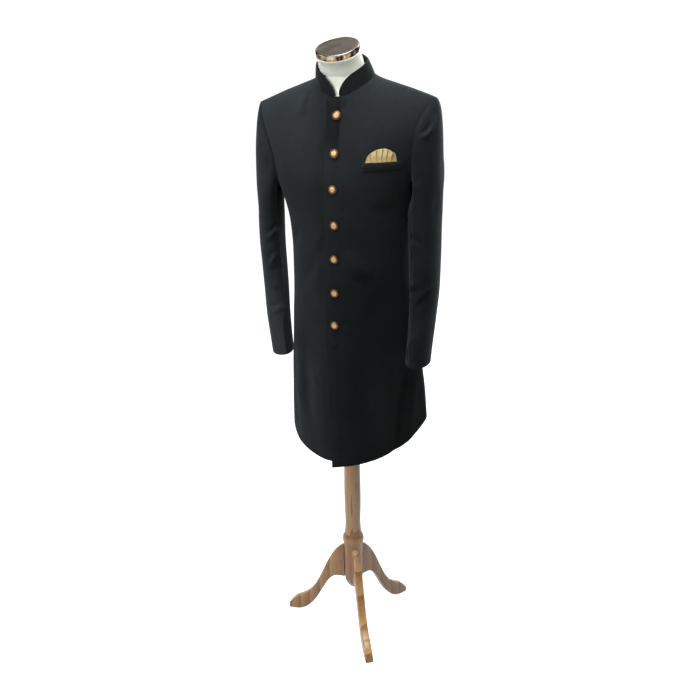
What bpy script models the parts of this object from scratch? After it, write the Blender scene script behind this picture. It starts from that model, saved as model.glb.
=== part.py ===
"""Sherwani coat buttoned on a limbless dress form with a wooden tripod stand.

Metres. The coat's front faces -Y, its wearer's left is +X and +Z is up.
"""

import math

import bpy
import numpy as np

# Cloth and seams
WALL = 0.0020
COLLAR_WALL = 0.0026
SEAM = 0.00040

# Coat body, by height: half width at the side seams, then y at the centre front, centre back and
# side seam, then how square the front and the back are (1 is an ellipse, 2 a lens).
BODY_SECTIONS = [
    # z, half_width, front, back, side, front_round, back_round
    (0.560, 0.205, -0.108, 0.196, 0.078, 1.85, 1.40),
    (0.700, 0.198, -0.112, 0.190, 0.069, 1.70, 1.35),
    (0.850, 0.186, -0.119, 0.181, 0.056, 1.45, 1.25),
    (1.000, 0.166, -0.122, 0.170, 0.040, 1.15, 1.08),
    (1.100, 0.156, -0.120, 0.161, 0.032, 1.02, 1.02),
    (1.200, 0.155, -0.121, 0.159, 0.027, 1.00, 1.00),
    (1.270, 0.161, -0.124, 0.162, 0.024, 0.97, 0.98),
    (1.330, 0.177, -0.124, 0.165, 0.022, 0.92, 0.95),
    (1.400, 0.202, -0.119, 0.167, 0.020, 0.88, 0.95),
    (1.450, 0.218, -0.114, 0.166, 0.018, 0.86, 0.95),
    (1.500, 0.231, -0.110, 0.165, 0.017, 0.86, 0.95),
    (1.660, 0.243, -0.108, 0.165, 0.016, 0.86, 0.95),
]
CHEST_Z = 1.340
BLADE_Z = 1.420
RISE = 0.25
CHEST_POWER = 1.20
BLADE_POWER = 1.00
# Line of the shoulder seam, by distance from the centre.
RIDGE = [
    # x, z
    (0.0000, 1.6350),
    (0.0450, 1.6220),
    (0.0765, 1.6030),
    (0.1200, 1.5870),
    (0.1650, 1.5715),
    (0.2120, 1.5535),
    (0.2400, 1.5425),
]
NECK_X = 0.0765
NECK_FRONT_Z = 1.565
NECK_BACK_Z = 1.618
SHOULDER_X = {+1: 0.219, -1: 0.232}
PIT_Z = 1.330
# The armhole's distance from the centre, by height.
ARMHOLE = {
    +1: [
        # z, front, back
        (1.3300, 0.1770, 0.1770),
        (1.3600, 0.1770, 0.1800),
        (1.4000, 0.1790, 0.1840),
        (1.4500, 0.1830, 0.1900),
        (1.5100, 0.1960, 0.2030),
        (1.5508, 0.2190, 0.2190),
    ],
    -1: [
        (1.3300, 0.1770, 0.1770),
        (1.3600, 0.1690, 0.1800),
        (1.4000, 0.1690, 0.1840),
        (1.4500, 0.1860, 0.1910),
        (1.5000, 0.2150, 0.2090),
        (1.5457, 0.2320, 0.2320),
    ],
}
# The coat stands a little lower on the wearer's right shoulder.
LEAN = 0.040
LEAN_FROM_Z = 1.000
LEAN_TO_Z = 1.450
# How far the front edges and buttons stand off the middle of the body, by height.
SWAY = [
    (0.560, 0.0040),
    (0.850, 0.0036),
    (1.000, 0.0022),
    (1.090, 0.0034),
    (1.180, 0.0042),
    (1.255, 0.0072),
    (1.350, 0.0052),
    (1.440, 0.0064),
    (1.530, 0.0052),
    (1.570, 0.0014),
    (1.600, 0.0000),
]
SWAY_REACH = 0.150
# Hem height, by share of the way from the front edge to the centre back.
HEM = {
    +1: [(0.0, 0.577), (0.25, 0.613), (0.5, 0.676), (0.75, 0.635), (1.0, 0.604)],
    -1: [(0.0, 0.590), (0.25, 0.598), (0.5, 0.604), (0.75, 0.600), (1.0, 0.600)],
}
LAP = 0.023
UNDERLAP = 0.020
LAP_STEP = 0.0034

PANEL_COLUMNS = 14
NECK_COLUMNS = 8
SKIRT_ROWS = 10
CHEST_ROWS = 11

# Sleeves below the head, by height: centre, then half sizes across and fore and aft, then turn.
SLEEVE_SECTIONS = {
    +1: [
        # z, x, y, half_across, half_along, turn_degrees
        (1.265, 0.2030, 0.018, 0.0390, 0.0690, 0.0),
        (1.150, 0.2035, 0.020, 0.0370, 0.0650, 0.0),
        (1.060, 0.2030, 0.014, 0.0355, 0.0610, 0.0),
        (0.970, 0.2020, -0.010, 0.0325, 0.0570, 0.0),
        (0.888, 0.2010, -0.034, 0.0300, 0.0530, 0.0),
    ],
    -1: [
        (1.265, 0.2195, 0.018, 0.0305, 0.0690, 8.0),
        (1.150, 0.2190, 0.020, 0.0300, 0.0650, 8.0),
        (1.060, 0.2125, 0.014, 0.0295, 0.0610, 8.0),
        (0.970, 0.1960, -0.014, 0.0285, 0.0560, 11.0),
        (0.889, 0.1745, -0.047, 0.0280, 0.0500, 17.0),
    ],
}
FORE_SEAM = 2
HIND_SEAM = 4
FORE_TURN = 128.0
HIND_TURN = -100.0
HEAD_PUFF = {+1: 0.023, -1: 0.014}
PIT_PUFF = 0.0187
HEAD_ROWS = 7
ARM_ROWS = 8

COLLAR_HEIGHT = 0.040
COLLAR_ROUND = 0.045
COLLAR_END = 0.0045
COLLAR_FIRST = math.degrees(math.asin(COLLAR_END / NECK_X))
# How much the collar leans in, in front and behind.
COLLAR_LEAN = (0.09, 0.36)
COLLAR_SHIFT = -0.004
COLLAR_LIFT = 0.0005
COLLAR_ROWS = 4

BUTTON_RADIUS = 0.01175
BUTTON_HEIGHTS = (1.5225, 1.4365, 1.3525, 1.2640, 1.1765, 1.0875, 1.0015)
BUTTON_SIDES = 18

WELT = {"inner": 0.073, "outer": 0.162, "bottom": 1.3945, "top": 1.4140, "slant": -0.017}
SQUARE = {"inner": 0.0785, "outer": 0.1515, "height": 0.030, "hidden": 0.005}
# Outline of the pocket square's fan: share across it, share of its height.
SQUARE_BROW = [
    (0.00, 0.00),
    (0.05, 0.33),
    (0.10, 0.52),
    (0.28, 0.84),
    (0.475, 0.98),
    (0.58, 1.00),
    (0.725, 0.93),
    (0.85, 0.75),
    (0.96, 0.46),
    (1.00, 0.00),
]
# Folds of the fan: share across it at the foot and at the outline.
SQUARE_FOLDS = [(0.215, 0.14), (0.40, 0.37), (0.54, 0.585), (0.67, 0.745), (0.82, 0.91)]

# Dress form under the coat, by height.
FORM_SECTIONS = [
    # z, half_width, front, back, side
    (0.840, 0.128, -0.088, 0.118, 0.020),
    (0.900, 0.140, -0.100, 0.132, 0.022),
    (0.980, 0.144, -0.104, 0.136, 0.022),
    (1.080, 0.134, -0.100, 0.124, 0.020),
    (1.160, 0.131, -0.101, 0.120, 0.018),
    (1.260, 0.142, -0.112, 0.138, 0.018),
    (1.330, 0.158, -0.1120, 0.1540, 0.018),
    (1.400, 0.180, -0.1070, 0.1595, 0.018),
    (1.450, 0.190, -0.1020, 0.1595, 0.018),
    (1.500, 0.196, -0.0980, 0.1590, 0.017),
    (1.660, 0.196, -0.0960, 0.1590, 0.016),
]
FORM_DROP = 0.0034
FORM_CHEST_POWER = 1.30
STUMP_FROM = 0.150
STUMP_TO = 0.194
STUMP_FALL = 0.042
FORM_SIDES = 32
CAP_RADIUS = 0.0532
CAP_HEIGHT = 0.015
CAP_CENTRE = (-0.0085, -0.030, 1.677)
CAP_TILT = 20.0
NECK_BASE_Z = 1.600
NECK_BASE_Y = 0.001
NECK_BASE_X_RADIUS = 0.0590
NECK_BASE_Y_RADIUS = 0.0535
NECK_ROOT_HEIGHTS = (1.556, 1.566, 1.576, 1.585, 1.593, 1.600, 1.6066)

# Turned pole, by height.
POLE = [
    # z, radius
    (0.118, 0.0060),
    (0.126, 0.0150),
    (0.140, 0.0230),
    (0.150, 0.0270),
    (0.270, 0.0270),
    (0.282, 0.0310),
    (0.296, 0.0310),
    (0.306, 0.0250),
    (0.340, 0.0215),
    (0.420, 0.0245),
    (0.560, 0.0225),
    (0.700, 0.0200),
    (0.770, 0.0190),
    (0.780, 0.0260),
    (0.798, 0.0260),
    (0.806, 0.0200),
    (0.8395, 0.0200),
]
POLE_SIDES = 24
# Legs, by distance from the pole's axis: upper and lower edge of the board.
LEG = [
    # reach, top, bottom
    (0.0274, 0.262, 0.150),
    (0.0420, 0.252, 0.150),
    (0.0600, 0.232, 0.146),
    (0.0800, 0.196, 0.126),
    (0.1000, 0.150, 0.090),
    (0.1220, 0.104, 0.050),
    (0.1460, 0.072, 0.020),
    (0.1720, 0.052, 0.004),
    (0.1950, 0.036, 0.000),
    (0.2090, 0.018, 0.000),
]
LEG_THICKNESS = 0.022
LEG_ANGLES = (60.0, 180.0, 300.0)

COLOURS = {
    # name: base colour, metallic, roughness
    "coat_wool": ((0.018, 0.020, 0.022, 1.0), 0.0, 0.82),
    "collar_wool": ((0.016, 0.018, 0.020, 1.0), 0.0, 0.80),
    "silk": ((0.640, 0.430, 0.130, 1.0), 0.0, 0.45),
    "rose_brass": ((0.780, 0.420, 0.220, 1.0), 1.0, 0.28),
    "form_white": ((0.800, 0.790, 0.770, 1.0), 0.0, 0.55),
    "chrome": ((0.720, 0.700, 0.690, 1.0), 1.0, 0.12),
    "stand_wood": ((0.560, 0.300, 0.120, 1.0), 0.0, 0.45),
}


def material(name):
    found = bpy.data.materials.get(name)
    if found:
        return found
    colour, metallic, roughness = COLOURS[name]
    made = bpy.data.materials.new(name)
    made.use_nodes = True
    shader = made.node_tree.nodes["Principled BSDF"]
    shader.inputs["Base Color"].default_value = colour
    shader.inputs["Metallic"].default_value = metallic
    shader.inputs["Roughness"].default_value = roughness
    made.diffuse_color = colour
    return made


def smooth(rows, column, at):
    """Value of a table's column at a place along its first column, on a smooth curve."""
    xs = [row[0] for row in rows]
    ys = [row[column] for row in rows]
    slopes = np.gradient(ys, xs)
    at = min(max(at, xs[0]), xs[-1])
    i = min(max(int(np.searchsorted(xs, at)) - 1, 0), len(xs) - 2)
    step = xs[i + 1] - xs[i]
    t = (at - xs[i]) / step
    start = (1 + 2 * t) * (1 - t) ** 2 * ys[i] + t * (1 - t) ** 2 * step * slopes[i]
    end = t * t * (3 - 2 * t) * ys[i + 1] + t * t * (t - 1) * step * slopes[i + 1]
    return float(start + end)


def ease(low, high, at):
    t = min(max((at - low) / (high - low), 0.0), 1.0)
    return t * t * (3 - 2 * t)


def lean(point):
    """The slight drop of the wearer's right shoulder and the sway of the front."""
    x, y, z = point
    near = max(1 - (x / SWAY_REACH) ** 2, 0.0) ** 2 * ease(0.03, 0.07, -y)
    fall = LEAN * x * ease(LEAN_FROM_Z, LEAN_TO_Z, z)
    return (x + smooth(SWAY, 1, z) * near, y, z + fall)


def ridge(x):
    return smooth(RIDGE, 1, abs(x))


def ridge_y(x):
    return -0.005 + 0.1 * abs(x)


def body_point(angle, level, back):
    """Point of the coat's outer face on its left half.

    The angle runs from 0 at the centre front to pi at the centre back. The level is below 0 under
    the chest line and pi / 2 on the shoulder seam.
    """
    base = BLADE_Z if back else CHEST_Z
    power = BLADE_POWER if back else CHEST_POWER
    z = base + RISE * level
    if level > 0:
        z = base + (1.57 - base) * math.sin(level)
    x = smooth(BODY_SECTIONS, 1, z) * math.sin(angle)
    if level > 0:
        for _ in range(8):
            z = base + (ridge(x) - base) * math.sin(level)
            x = smooth(BODY_SECTIONS, 1, z) * math.sin(angle)
    side = smooth(BODY_SECTIONS, 4, z)
    centre = smooth(BODY_SECTIONS, 3 if back else 2, z)
    squareness = smooth(BODY_SECTIONS, 6 if back else 5, z)
    y = side + (centre - side) * max(abs(math.cos(angle)), 1e-9) ** squareness
    if abs(angle - math.pi / 2) < 1e-9:
        y = side
    if level > 0:
        top = ridge_y(x)
        y = top + (y - top) * max(math.cos(level), 0.0) ** power
    return (x, y, z)


def place_of(x, z, back):
    """Angle and level of the point with this x and z."""
    base = BLADE_Z if back else CHEST_Z
    angle = math.asin(min(max(x / smooth(BODY_SECTIONS, 1, z), -1.0), 1.0))
    if back:
        angle = math.pi - angle
    if z <= base:
        return np.array([angle, (z - base) / RISE])
    share = min((z - base) / (ridge(x) - base), 1.0)
    return np.array([angle, math.asin(share)])


def armhole_place(share, back, side):
    """Place on the armhole, from the underarm (0) to the shoulder point (1)."""
    top = ridge(SHOULDER_X[side])
    z = PIT_Z + (top - PIT_Z) * (1 - math.cos(math.pi * share)) / 2
    x = smooth(ARMHOLE[side], 2 if back else 1, z)
    if share <= 0:
        return np.array([math.pi / 2, (PIT_Z - (BLADE_Z if back else CHEST_Z)) / RISE])
    if share >= 1:
        end = place_of(SHOULDER_X[side], top, back)
        return np.array([end[0], math.pi / 2])
    return place_of(x, z, back)


def neck_place(turn, back):
    """Place on the neckline: turn is 0 at the centre front, 90 at the shoulder and 180 at the nape."""
    turn = math.radians(turn)
    x = NECK_X * math.sin(turn)
    side_z = ridge(NECK_X)
    if back:
        z = side_z + (NECK_BACK_Z - side_z) * math.cos(turn) ** 2
    else:
        z = NECK_FRONT_Z + (side_z - NECK_FRONT_Z) * math.sin(turn) ** 2
    if abs(abs(turn) - math.pi / 2) < 1e-9:
        place = place_of(NECK_X, side_z, back)
        return np.array([place[0], math.pi / 2])
    return place_of(x, z, back)


def neck_turn(column, start_turn, back):
    """Turn round the neck of a panel's column. The collar has the same columns."""
    if back:
        return 180.0 - 90.0 * column / NECK_COLUMNS
    if column <= 1:
        return start_turn - (COLLAR_FIRST + start_turn) * column
    if column <= 2:
        return COLLAR_FIRST * (2 * column - 3)
    return COLLAR_FIRST + (90.0 - COLLAR_FIRST) * (column - 2) / (NECK_COLUMNS - 2)


def top_place(share, start_turn, back, side):
    """Place on the top edge of a panel: the neckline, then the shoulder seam."""
    column = share * PANEL_COLUMNS
    if column <= NECK_COLUMNS:
        return neck_place(neck_turn(column, start_turn, back), back)
    along = (column - NECK_COLUMNS) / (PANEL_COLUMNS - NECK_COLUMNS)
    x = NECK_X + (SHOULDER_X[side] - NECK_X) * along
    place = place_of(x, ridge(x), back)
    return np.array([place[0], math.pi / 2])


def row_share(row):
    """Share of the way from the underarm to the shoulder. The sleeve has the same columns."""
    return 1 - (1 - row / CHEST_ROWS) ** 1.4


def panel_places(edge_x, back, side):
    """Rows of places of one body panel, from the hem up and from its inner edge to the side."""
    base = BLADE_Z if back else CHEST_Z
    rows = []
    for i in range(SKIRT_ROWS + 1):
        row = []
        for j in range(PANEL_COLUMNS + 1):
            share = j / PANEL_COLUMNS
            around = 1 - share / 2 if back else share / 2
            hem = smooth(HEM[side], 1, around)
            z = hem + (PIT_Z - hem) * i / SKIRT_ROWS
            angle = math.pi - (math.pi / 2) * share
            if not back:
                # The second column of a front is the centre line that the buttons stand on.
                angle = (math.pi / 2) * (j - 1) / (PANEL_COLUMNS - 1)
            if j == 0:
                angle = place_of(edge_x, z, back)[0]
            row.append(np.array([angle, (z - base) / RISE]))
        rows.append(row)
    bottom = rows[-1]
    start_turn = 180.0 if back else math.degrees(math.asin(edge_x / NECK_X))
    for i in range(1, CHEST_ROWS + 1):
        up = row_share(i)
        row = []
        for j in range(PANEL_COLUMNS + 1):
            share = j / PANEL_COLUMNS
            top = top_place(share, start_turn, back, side)
            corner = top_place(0.0, start_turn, back, side)
            first = place_on_edge(bottom[0], corner, up, edge_x, back)
            last = armhole_place(up, back, side)
            end = top_place(1.0, start_turn, back, side)
            flat = (1 - up) * bottom[j] + up * top
            cross = (1 - share) * first + share * last
            twist = (1 - up) * ((1 - share) * bottom[0] + share * bottom[-1])
            twist = twist + up * ((1 - share) * corner + share * end)
            row.append(flat + cross - twist)
        rows.append(row)
    return rows


def place_on_edge(low, high, up, edge_x, back):
    """Place on a panel's straight inner edge above the underarm."""
    if up >= 1:
        return high
    level = low[1] + (high[1] - low[1]) * up
    angle = low[0]
    if back:
        return np.array([angle, level])
    x = edge_x
    width = smooth(BODY_SECTIONS, 1, body_point(0.0, level, back)[2])
    return np.array([math.asin(x / width), level])


def panel(edge_x, back, side):
    places = panel_places(edge_x, back, side)
    return np.array([[body_point(p[0], p[1], back) for p in row] for row in places])


def normals_of(grid):
    """Unit normals of a grid, on the side that its rows and columns turn to."""
    down, along = np.gradient(grid, axis=0), np.gradient(grid, axis=1)
    normals = np.cross(along, down)
    return normals / np.linalg.norm(normals, axis=2, keepdims=True)


def trim(grid, first_row=0.0, last_row=0.0, first_column=0.0, last_column=0.0):
    """Grid with its edges drawn in along the cloth by these lengths."""
    cut = grid.copy()
    for edge, next_row, length in ((0, 1, first_row), (-1, -2, last_row)):
        way = grid[next_row] - grid[edge]
        cut[edge] += length * way / np.linalg.norm(way, axis=1, keepdims=True)
    grid = cut.copy()
    for edge, next_column, length in ((0, 1, first_column), (-1, -2, last_column)):
        way = grid[:, next_column] - grid[:, edge]
        cut[:, edge] += length * way / np.linalg.norm(way, axis=1, keepdims=True)
    return cut


def share_normals(one, other):
    """Mean of two sets of normals along a seam."""
    mean = one + other
    return mean / np.linalg.norm(mean, axis=1, keepdims=True)


def solid(name, points, faces, slot):
    mesh = bpy.data.meshes.new(name)
    mesh.from_pydata([tuple(map(float, p)) for p in points], [], faces)
    mesh.validate()
    mesh.update()
    for polygon in mesh.polygons:
        polygon.use_smooth = True
    made = bpy.data.objects.new(name, mesh)
    bpy.context.scene.collection.objects.link(made)
    made.data.materials.append(material(slot))
    return made


def sheet(name, outer, inner, slot, mirrored=False):
    """Closed solid between two grids of the same size."""
    rows, columns = outer.shape[:2]
    points = list(outer.reshape(-1, 3)) + list(inner.reshape(-1, 3))
    size = rows * columns
    faces = []
    for i in range(rows - 1):
        for j in range(columns - 1):
            a = i * columns + j
            faces.append((a, a + 1, a + columns + 1, a + columns))
            faces.append((size + a + columns, size + a + columns + 1, size + a + 1, size + a))
    around = [j for j in range(columns)]
    around += [i * columns + columns - 1 for i in range(1, rows)]
    around += [(rows - 1) * columns + j for j in range(columns - 2, -1, -1)]
    around += [i * columns for i in range(rows - 2, 0, -1)]
    for here, after in zip(around, around[1:] + around[:1]):
        faces.append((here, size + here, size + after, after))
    if mirrored:
        faces = [face[::-1] for face in faces]
    return solid(name, points, faces, slot)


def lofted(name, rings, slot):
    """Closed solid through rings of points, capped flat at both ends."""
    count = len(rings[0])
    points = [p for ring in rings for p in ring]
    faces = []
    for i in range(len(rings) - 1):
        for j in range(count):
            k = (j + 1) % count
            faces.append((i * count + j, i * count + k, (i + 1) * count + k, (i + 1) * count + j))
    faces.append(tuple(range(count - 1, -1, -1)))
    last = (len(rings) - 1) * count
    faces.append(tuple(last + j for j in range(count)))
    return solid(name, points, faces, slot)


def leaned(grid):
    return np.array([[lean(p) for p in row] for row in grid])


def make_body():
    """The two fronts and the two backs."""
    for side, word, edge_x in ((+1, "left", -LAP), (-1, "right", -UNDERLAP)):
        front = panel(edge_x, False, side)
        back = panel(0.0, True, side)
        # The right front drops under the left one.
        if side < 0:
            tuck = np.array([[1 - ease(0.026, 0.050, p[0]) for p in row] for row in front])
            front = front - normals_of(front) * (LAP_STEP * tuck)[:, :, None]
        front_normals = normals_of(front)
        back_normals = -normals_of(back)
        seam = SKIRT_ROWS + 1
        shared = share_normals(front_normals[:seam, -1], back_normals[:seam, -1])
        front_normals[:seam, -1] = shared
        back_normals[:seam, -1] = shared
        shared = share_normals(front_normals[-1, NECK_COLUMNS:], back_normals[-1, NECK_COLUMNS:])
        front_normals[-1, NECK_COLUMNS:] = shared
        back_normals[-1, NECK_COLUMNS:] = shared
        back_normals[:, 0, 0] = 0.0
        back_normals[:, 0] /= np.linalg.norm(back_normals[:, 0], axis=1, keepdims=True)
        front = trim(front, last_row=SEAM / 2, last_column=SEAM / 2)
        back = trim(back, last_row=SEAM / 2, first_column=SEAM / 2, last_column=SEAM / 2)
        flip = np.array([side, 1.0, 1.0])
        for name, grid, normals, turned in (
            ("front_" + word, front, front_normals, side < 0),
            ("back_" + word, back, back_normals, side > 0),
        ):
            outer = leaned(grid * flip)
            inner = leaned((grid - normals * WALL) * flip)
            sheet(name, outer, inner, "coat_wool", mirrored=turned)


def armhole_ring(turn, side):
    """Point of the armhole: turn is 0 at the shoulder, 90 at the front and 180 at the underarm."""
    turn = (turn + 180.0) % 360.0 - 180.0
    back = turn < 0
    share = 1 - abs(turn) / 180.0
    place = armhole_place(share, back, side)
    return np.array(body_point(place[0], place[1], back))


def sleeve_ring(side, z, turn):
    rows = SLEEVE_SECTIONS[side][::-1]
    x, y, across, along, twist = (smooth(rows, column, z) for column in range(1, 6))
    turn = math.radians(turn)
    out = across * math.cos(turn)
    fore = -along * math.sin(turn)
    twist = math.radians(twist)
    return np.array(
        [
            x + out * math.cos(twist) + fore * math.sin(twist),
            y - out * math.sin(twist) + fore * math.cos(twist),
            z,
        ]
    )


def sleeve_turns(under):
    """Turns round the armhole, then round the cuff, of the columns of a half of a sleeve."""
    fore = [180.0 * (1 - row_share(row)) for row in range(CHEST_ROWS + 1)]
    if under:
        at_armhole = fore[FORE_SEAM::-1] + [360.0 - turn for turn in fore[1 : HIND_SEAM + 1]]
        ends = (FORE_TURN, HIND_TURN + 360.0)
    else:
        at_armhole = [-turn for turn in fore[HIND_SEAM:]] + fore[-2 : FORE_SEAM - 1 : -1]
        ends = (HIND_TURN, FORE_TURN)
    return at_armhole, list(np.linspace(ends[0], ends[1], len(at_armhole)))


def sleeve_grid(side, under):
    """Outer face of a half of a sleeve, from the armhole down, on the left half."""
    head_z = SLEEVE_SECTIONS[side][0][0]
    cuff_z = SLEEVE_SECTIONS[side][-1][0]
    at_armhole, at_cuff = sleeve_turns(under)
    grid = []
    for i in range(HEAD_ROWS + ARM_ROWS + 1):
        row = []
        for turn, low_turn in zip(at_armhole, at_cuff):
            if i > HEAD_ROWS:
                z = head_z + (cuff_z - head_z) * (i - HEAD_ROWS) / ARM_ROWS
                row.append(sleeve_ring(side, z, low_turn))
                continue
            radians = math.radians(turn)
            low = (1 - math.cos(radians)) / 2
            way = np.array([1.0 - 0.50 * low, -0.30 * math.sin(radians), 0.04 - 1.2 * low])
            way = way / np.linalg.norm(way)
            start = armhole_ring(turn, side)
            start = start + np.array([SEAM, 0.0, 0.0]) + way * SEAM * 0.7
            end = sleeve_ring(side, head_z, low_turn)
            below = sleeve_ring(side, head_z - 0.02, low_turn)
            rise = (end - below) / 0.02
            first = start + way * (HEAD_PUFF[side] * (1 - low) + PIT_PUFF * low)
            last = end + rise * (start[2] - head_z) * 0.66
            t = (i / HEAD_ROWS) ** 1.15
            point = (1 - t) ** 3 * start + 3 * t * (1 - t) ** 2 * first
            point = point + 3 * t * t * (1 - t) * last + t**3 * end
            row.append(point)
        grid.append(row)
    return np.array(grid)


def make_sleeves():
    for side, word in ((+1, "left"), (-1, "right")):
        top = sleeve_grid(side, False)
        under = sleeve_grid(side, True)
        top_normals = normals_of(top)
        under_normals = normals_of(under)
        for one, other in ((-1, 0), (0, -1)):
            shared = share_normals(top_normals[:, one], under_normals[:, other])
            top_normals[:, one] = shared
            under_normals[:, other] = shared
        flip = np.array([side, 1.0, 1.0])
        for name, grid, normals in (
            ("sleeve_top_" + word, top, top_normals),
            ("sleeve_under_" + word, under, under_normals),
        ):
            grid = trim(grid, first_column=SEAM * 0.75, last_column=SEAM * 0.75)
            outer = leaned(grid * flip)
            inner = leaned((grid - normals * WALL) * flip)
            sheet(name, outer, inner, "coat_wool", mirrored=side < 0)


def neckline(turn):
    """Point of the neckline: turn is 0 at the front, +-180 at the nape, positive on the left."""
    back = abs(turn) > 90
    place = neck_place(abs(turn), back)
    x, y, z = body_point(place[0], place[1], back)
    return np.array([math.copysign(x, turn), y, z])


def make_collar():
    half = [neck_turn(column, 0.0, False) for column in range(2, NECK_COLUMNS + 1)]
    half += [neck_turn(column, 0.0, True) for column in range(NECK_COLUMNS - 1, -1, -1)]
    turns = half + [-turn for turn in half[-2::-1]]
    base = np.array([neckline(turn) for turn in turns])
    base[:, 2] += COLLAR_LIFT
    steps = np.linalg.norm(np.diff(base, axis=0), axis=1)
    along = np.concatenate([[0.0], np.cumsum(steps)])
    to_end = np.minimum(along, along[-1] - along)
    centre = np.array([0.0, -0.006])
    grid = []
    for i in range(COLLAR_ROWS + 1):
        row = []
        for point, reach, turn in zip(base, to_end, turns):
            share = min(reach / COLLAR_ROUND, 1.0)
            height = COLLAR_HEIGHT * max(math.sqrt(1 - (1 - share) ** 2), 0.12)
            slant = COLLAR_LEAN[0] + (COLLAR_LEAN[1] - COLLAR_LEAN[0]) * ease(55.0, 95.0, abs(turn))
            inward = centre - point[:2]
            inward = inward / np.linalg.norm(inward)
            rise = height * i / COLLAR_ROWS
            flat = point[:2] + inward * slant * rise
            row.append([flat[0] + COLLAR_SHIFT * rise / COLLAR_HEIGHT, flat[1], point[2] + rise])
        grid.append(row)
    grid = np.array(grid)
    normals = normals_of(grid)
    if normals[0, 0, 1] > 0:
        normals = -normals
    flat = np.stack([normals[:, :, 0], normals[:, :, 1], normals[:, :, 2] * 0.0], axis=2)
    flat = flat / np.linalg.norm(flat, axis=2, keepdims=True)
    sheet("collar", leaned(grid), leaned(grid - flat * COLLAR_WALL), "collar_wool")


def front_spot(x, z):
    """Point and outward normal of the left front's face at this x and z."""
    here = place_of(x, z, False)
    spots = []
    for angle, level in ((0, 0), (0.004, 0), (0, 0.004)):
        point = body_point(here[0] + angle, here[1] + level, False)
        spots.append(np.array(lean(point)))
    normal = np.cross(spots[1] - spots[0], spots[2] - spots[0])
    return spots[0], normal / np.linalg.norm(normal)


def make_buttons():
    profile = [
        # share of the radius, height off the cloth
        (0.90, 0.0000),
        (1.00, 0.0008),
        (1.00, 0.0018),
        (0.93, 0.0028),
        (0.80, 0.0029),
        (0.72, 0.0040),
        (0.45, 0.0054),
        (0.20, 0.0060),
    ]
    for number, z in enumerate(BUTTON_HEIGHTS, 1):
        point, normal = front_spot(0.0, z)
        across = np.cross(np.array([0.0, 0.0, 1.0]), normal)
        across = across / np.linalg.norm(across)
        up = np.cross(normal, across)
        rings = []
        for share, height in profile:
            ring = []
            for k in range(BUTTON_SIDES):
                turn = 2 * math.pi * k / BUTTON_SIDES
                reach = BUTTON_RADIUS * share
                spoke = across * math.cos(turn) + up * math.sin(turn)
                ring.append(point + normal * (0.0006 + height) + spoke * reach)
            rings.append(ring)
        lofted("button_%d" % number, rings, "rose_brass")


def patch(inner_x, outer_x, low, high, columns, rows, lift):
    """Grid on the left front between two lines, lifted off it by lift(across, up)."""
    grid = []
    for i in range(rows + 1):
        row = []
        for j in range(columns + 1):
            across, up = j / columns, i / rows
            x = inner_x + (outer_x - inner_x) * across
            z = low(across) + (high(across) - low(across)) * up
            point, normal = front_spot(x, z)
            row.append(point + normal * lift(across, up))
        grid.append(row)
    return np.array(grid)


def make_pocket():
    rise = WELT["slant"] * (WELT["outer"] - WELT["inner"])
    low = lambda across: WELT["bottom"] + rise * across
    high = lambda across: WELT["top"] + rise * across
    args = (WELT["inner"], WELT["outer"], low, high, 8, 3)
    outer = patch(*args, lambda across, up: 0.0025 + 0.0022 * ease(0.0, 0.6, up))
    inner = patch(*args, lambda across, up: 0.0007 + 0.0022 * ease(0.0, 0.6, up))
    sheet("breast_pocket", outer, inner, "coat_wool")
    foot = lambda across: WELT["top"] - SQUARE["hidden"] + rise * (0.06 + 0.82 * across)

    def shown(across):
        return SQUARE["hidden"] + 0.0005 + SQUARE["height"] * smooth(SQUARE_BROW, 1, across)

    def pleat(across, up):
        lines = [0.0] + [low + (high - low) * up for low, high in SQUARE_FOLDS] + [1.0]
        phase = sum(min(max((across - a) / (b - a), 0.0), 1.0) for a, b in zip(lines, lines[1:]))
        wave = 0.5 - 0.5 * math.cos(2 * math.pi * phase)
        return 0.0008 + 0.0030 * wave * ease(0.006, 0.022, up * shown(across))

    brow = lambda across: foot(across) + shown(across)
    columns = 4 * len(SQUARE_FOLDS) + 4
    args = (SQUARE["inner"], SQUARE["outer"], foot, brow, columns, 4)
    outer = patch(*args, lambda across, up: pleat(across, up) + 0.0012)
    inner = patch(*args, pleat)
    sheet("pocket_square", outer, inner, "silk")


def form_ridge(x):
    past = max((abs(x) - STUMP_FROM) / (STUMP_TO - STUMP_FROM), 0.0)
    return ridge(x) - FORM_DROP - STUMP_FALL * past**2.0


def form_y(x, z, back):
    """The form's y at this x and z, above the chest line."""
    base = BLADE_Z if back else CHEST_Z
    power = BLADE_POWER if back else FORM_CHEST_POWER
    column = 3 if back else 2
    width = smooth(FORM_SECTIONS, 1, z)
    side = smooth(FORM_SECTIONS, 4, z)
    centre = smooth(FORM_SECTIONS, column, z)
    y = side + (centre - side) * math.sqrt(max(1 - (x / width) ** 2, 0.0))
    if z > base:
        share = min((z - base) / (form_ridge(x) - base), 1.0)
        top = ridge_y(x)
        y = top + (y - top) * math.sqrt(max(1 - share * share, 0.0)) ** power
    return y


def form_half_width(z):
    """Widest x at a height, on the form's shoulder line."""
    width = smooth(FORM_SECTIONS, 1, z)
    if form_ridge(width) >= z:
        return width
    low, high = 0.0, width
    for _ in range(40):
        middle = (low + high) / 2
        if form_ridge(middle) > z:
            low = middle
        else:
            high = middle
    return low


def form_ring(z):
    width = form_half_width(z)
    ring = []
    for k in range(FORM_SIDES):
        turn = 2 * math.pi * k / FORM_SIDES
        x = width * math.sin(turn)
        back = math.cos(turn) < 0
        if abs(abs(x) - width) < 1e-9:
            x = math.copysign(width * 0.99999, x)
        ring.append(np.array([x, form_y(x, z, back), z]))
    return ring


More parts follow.
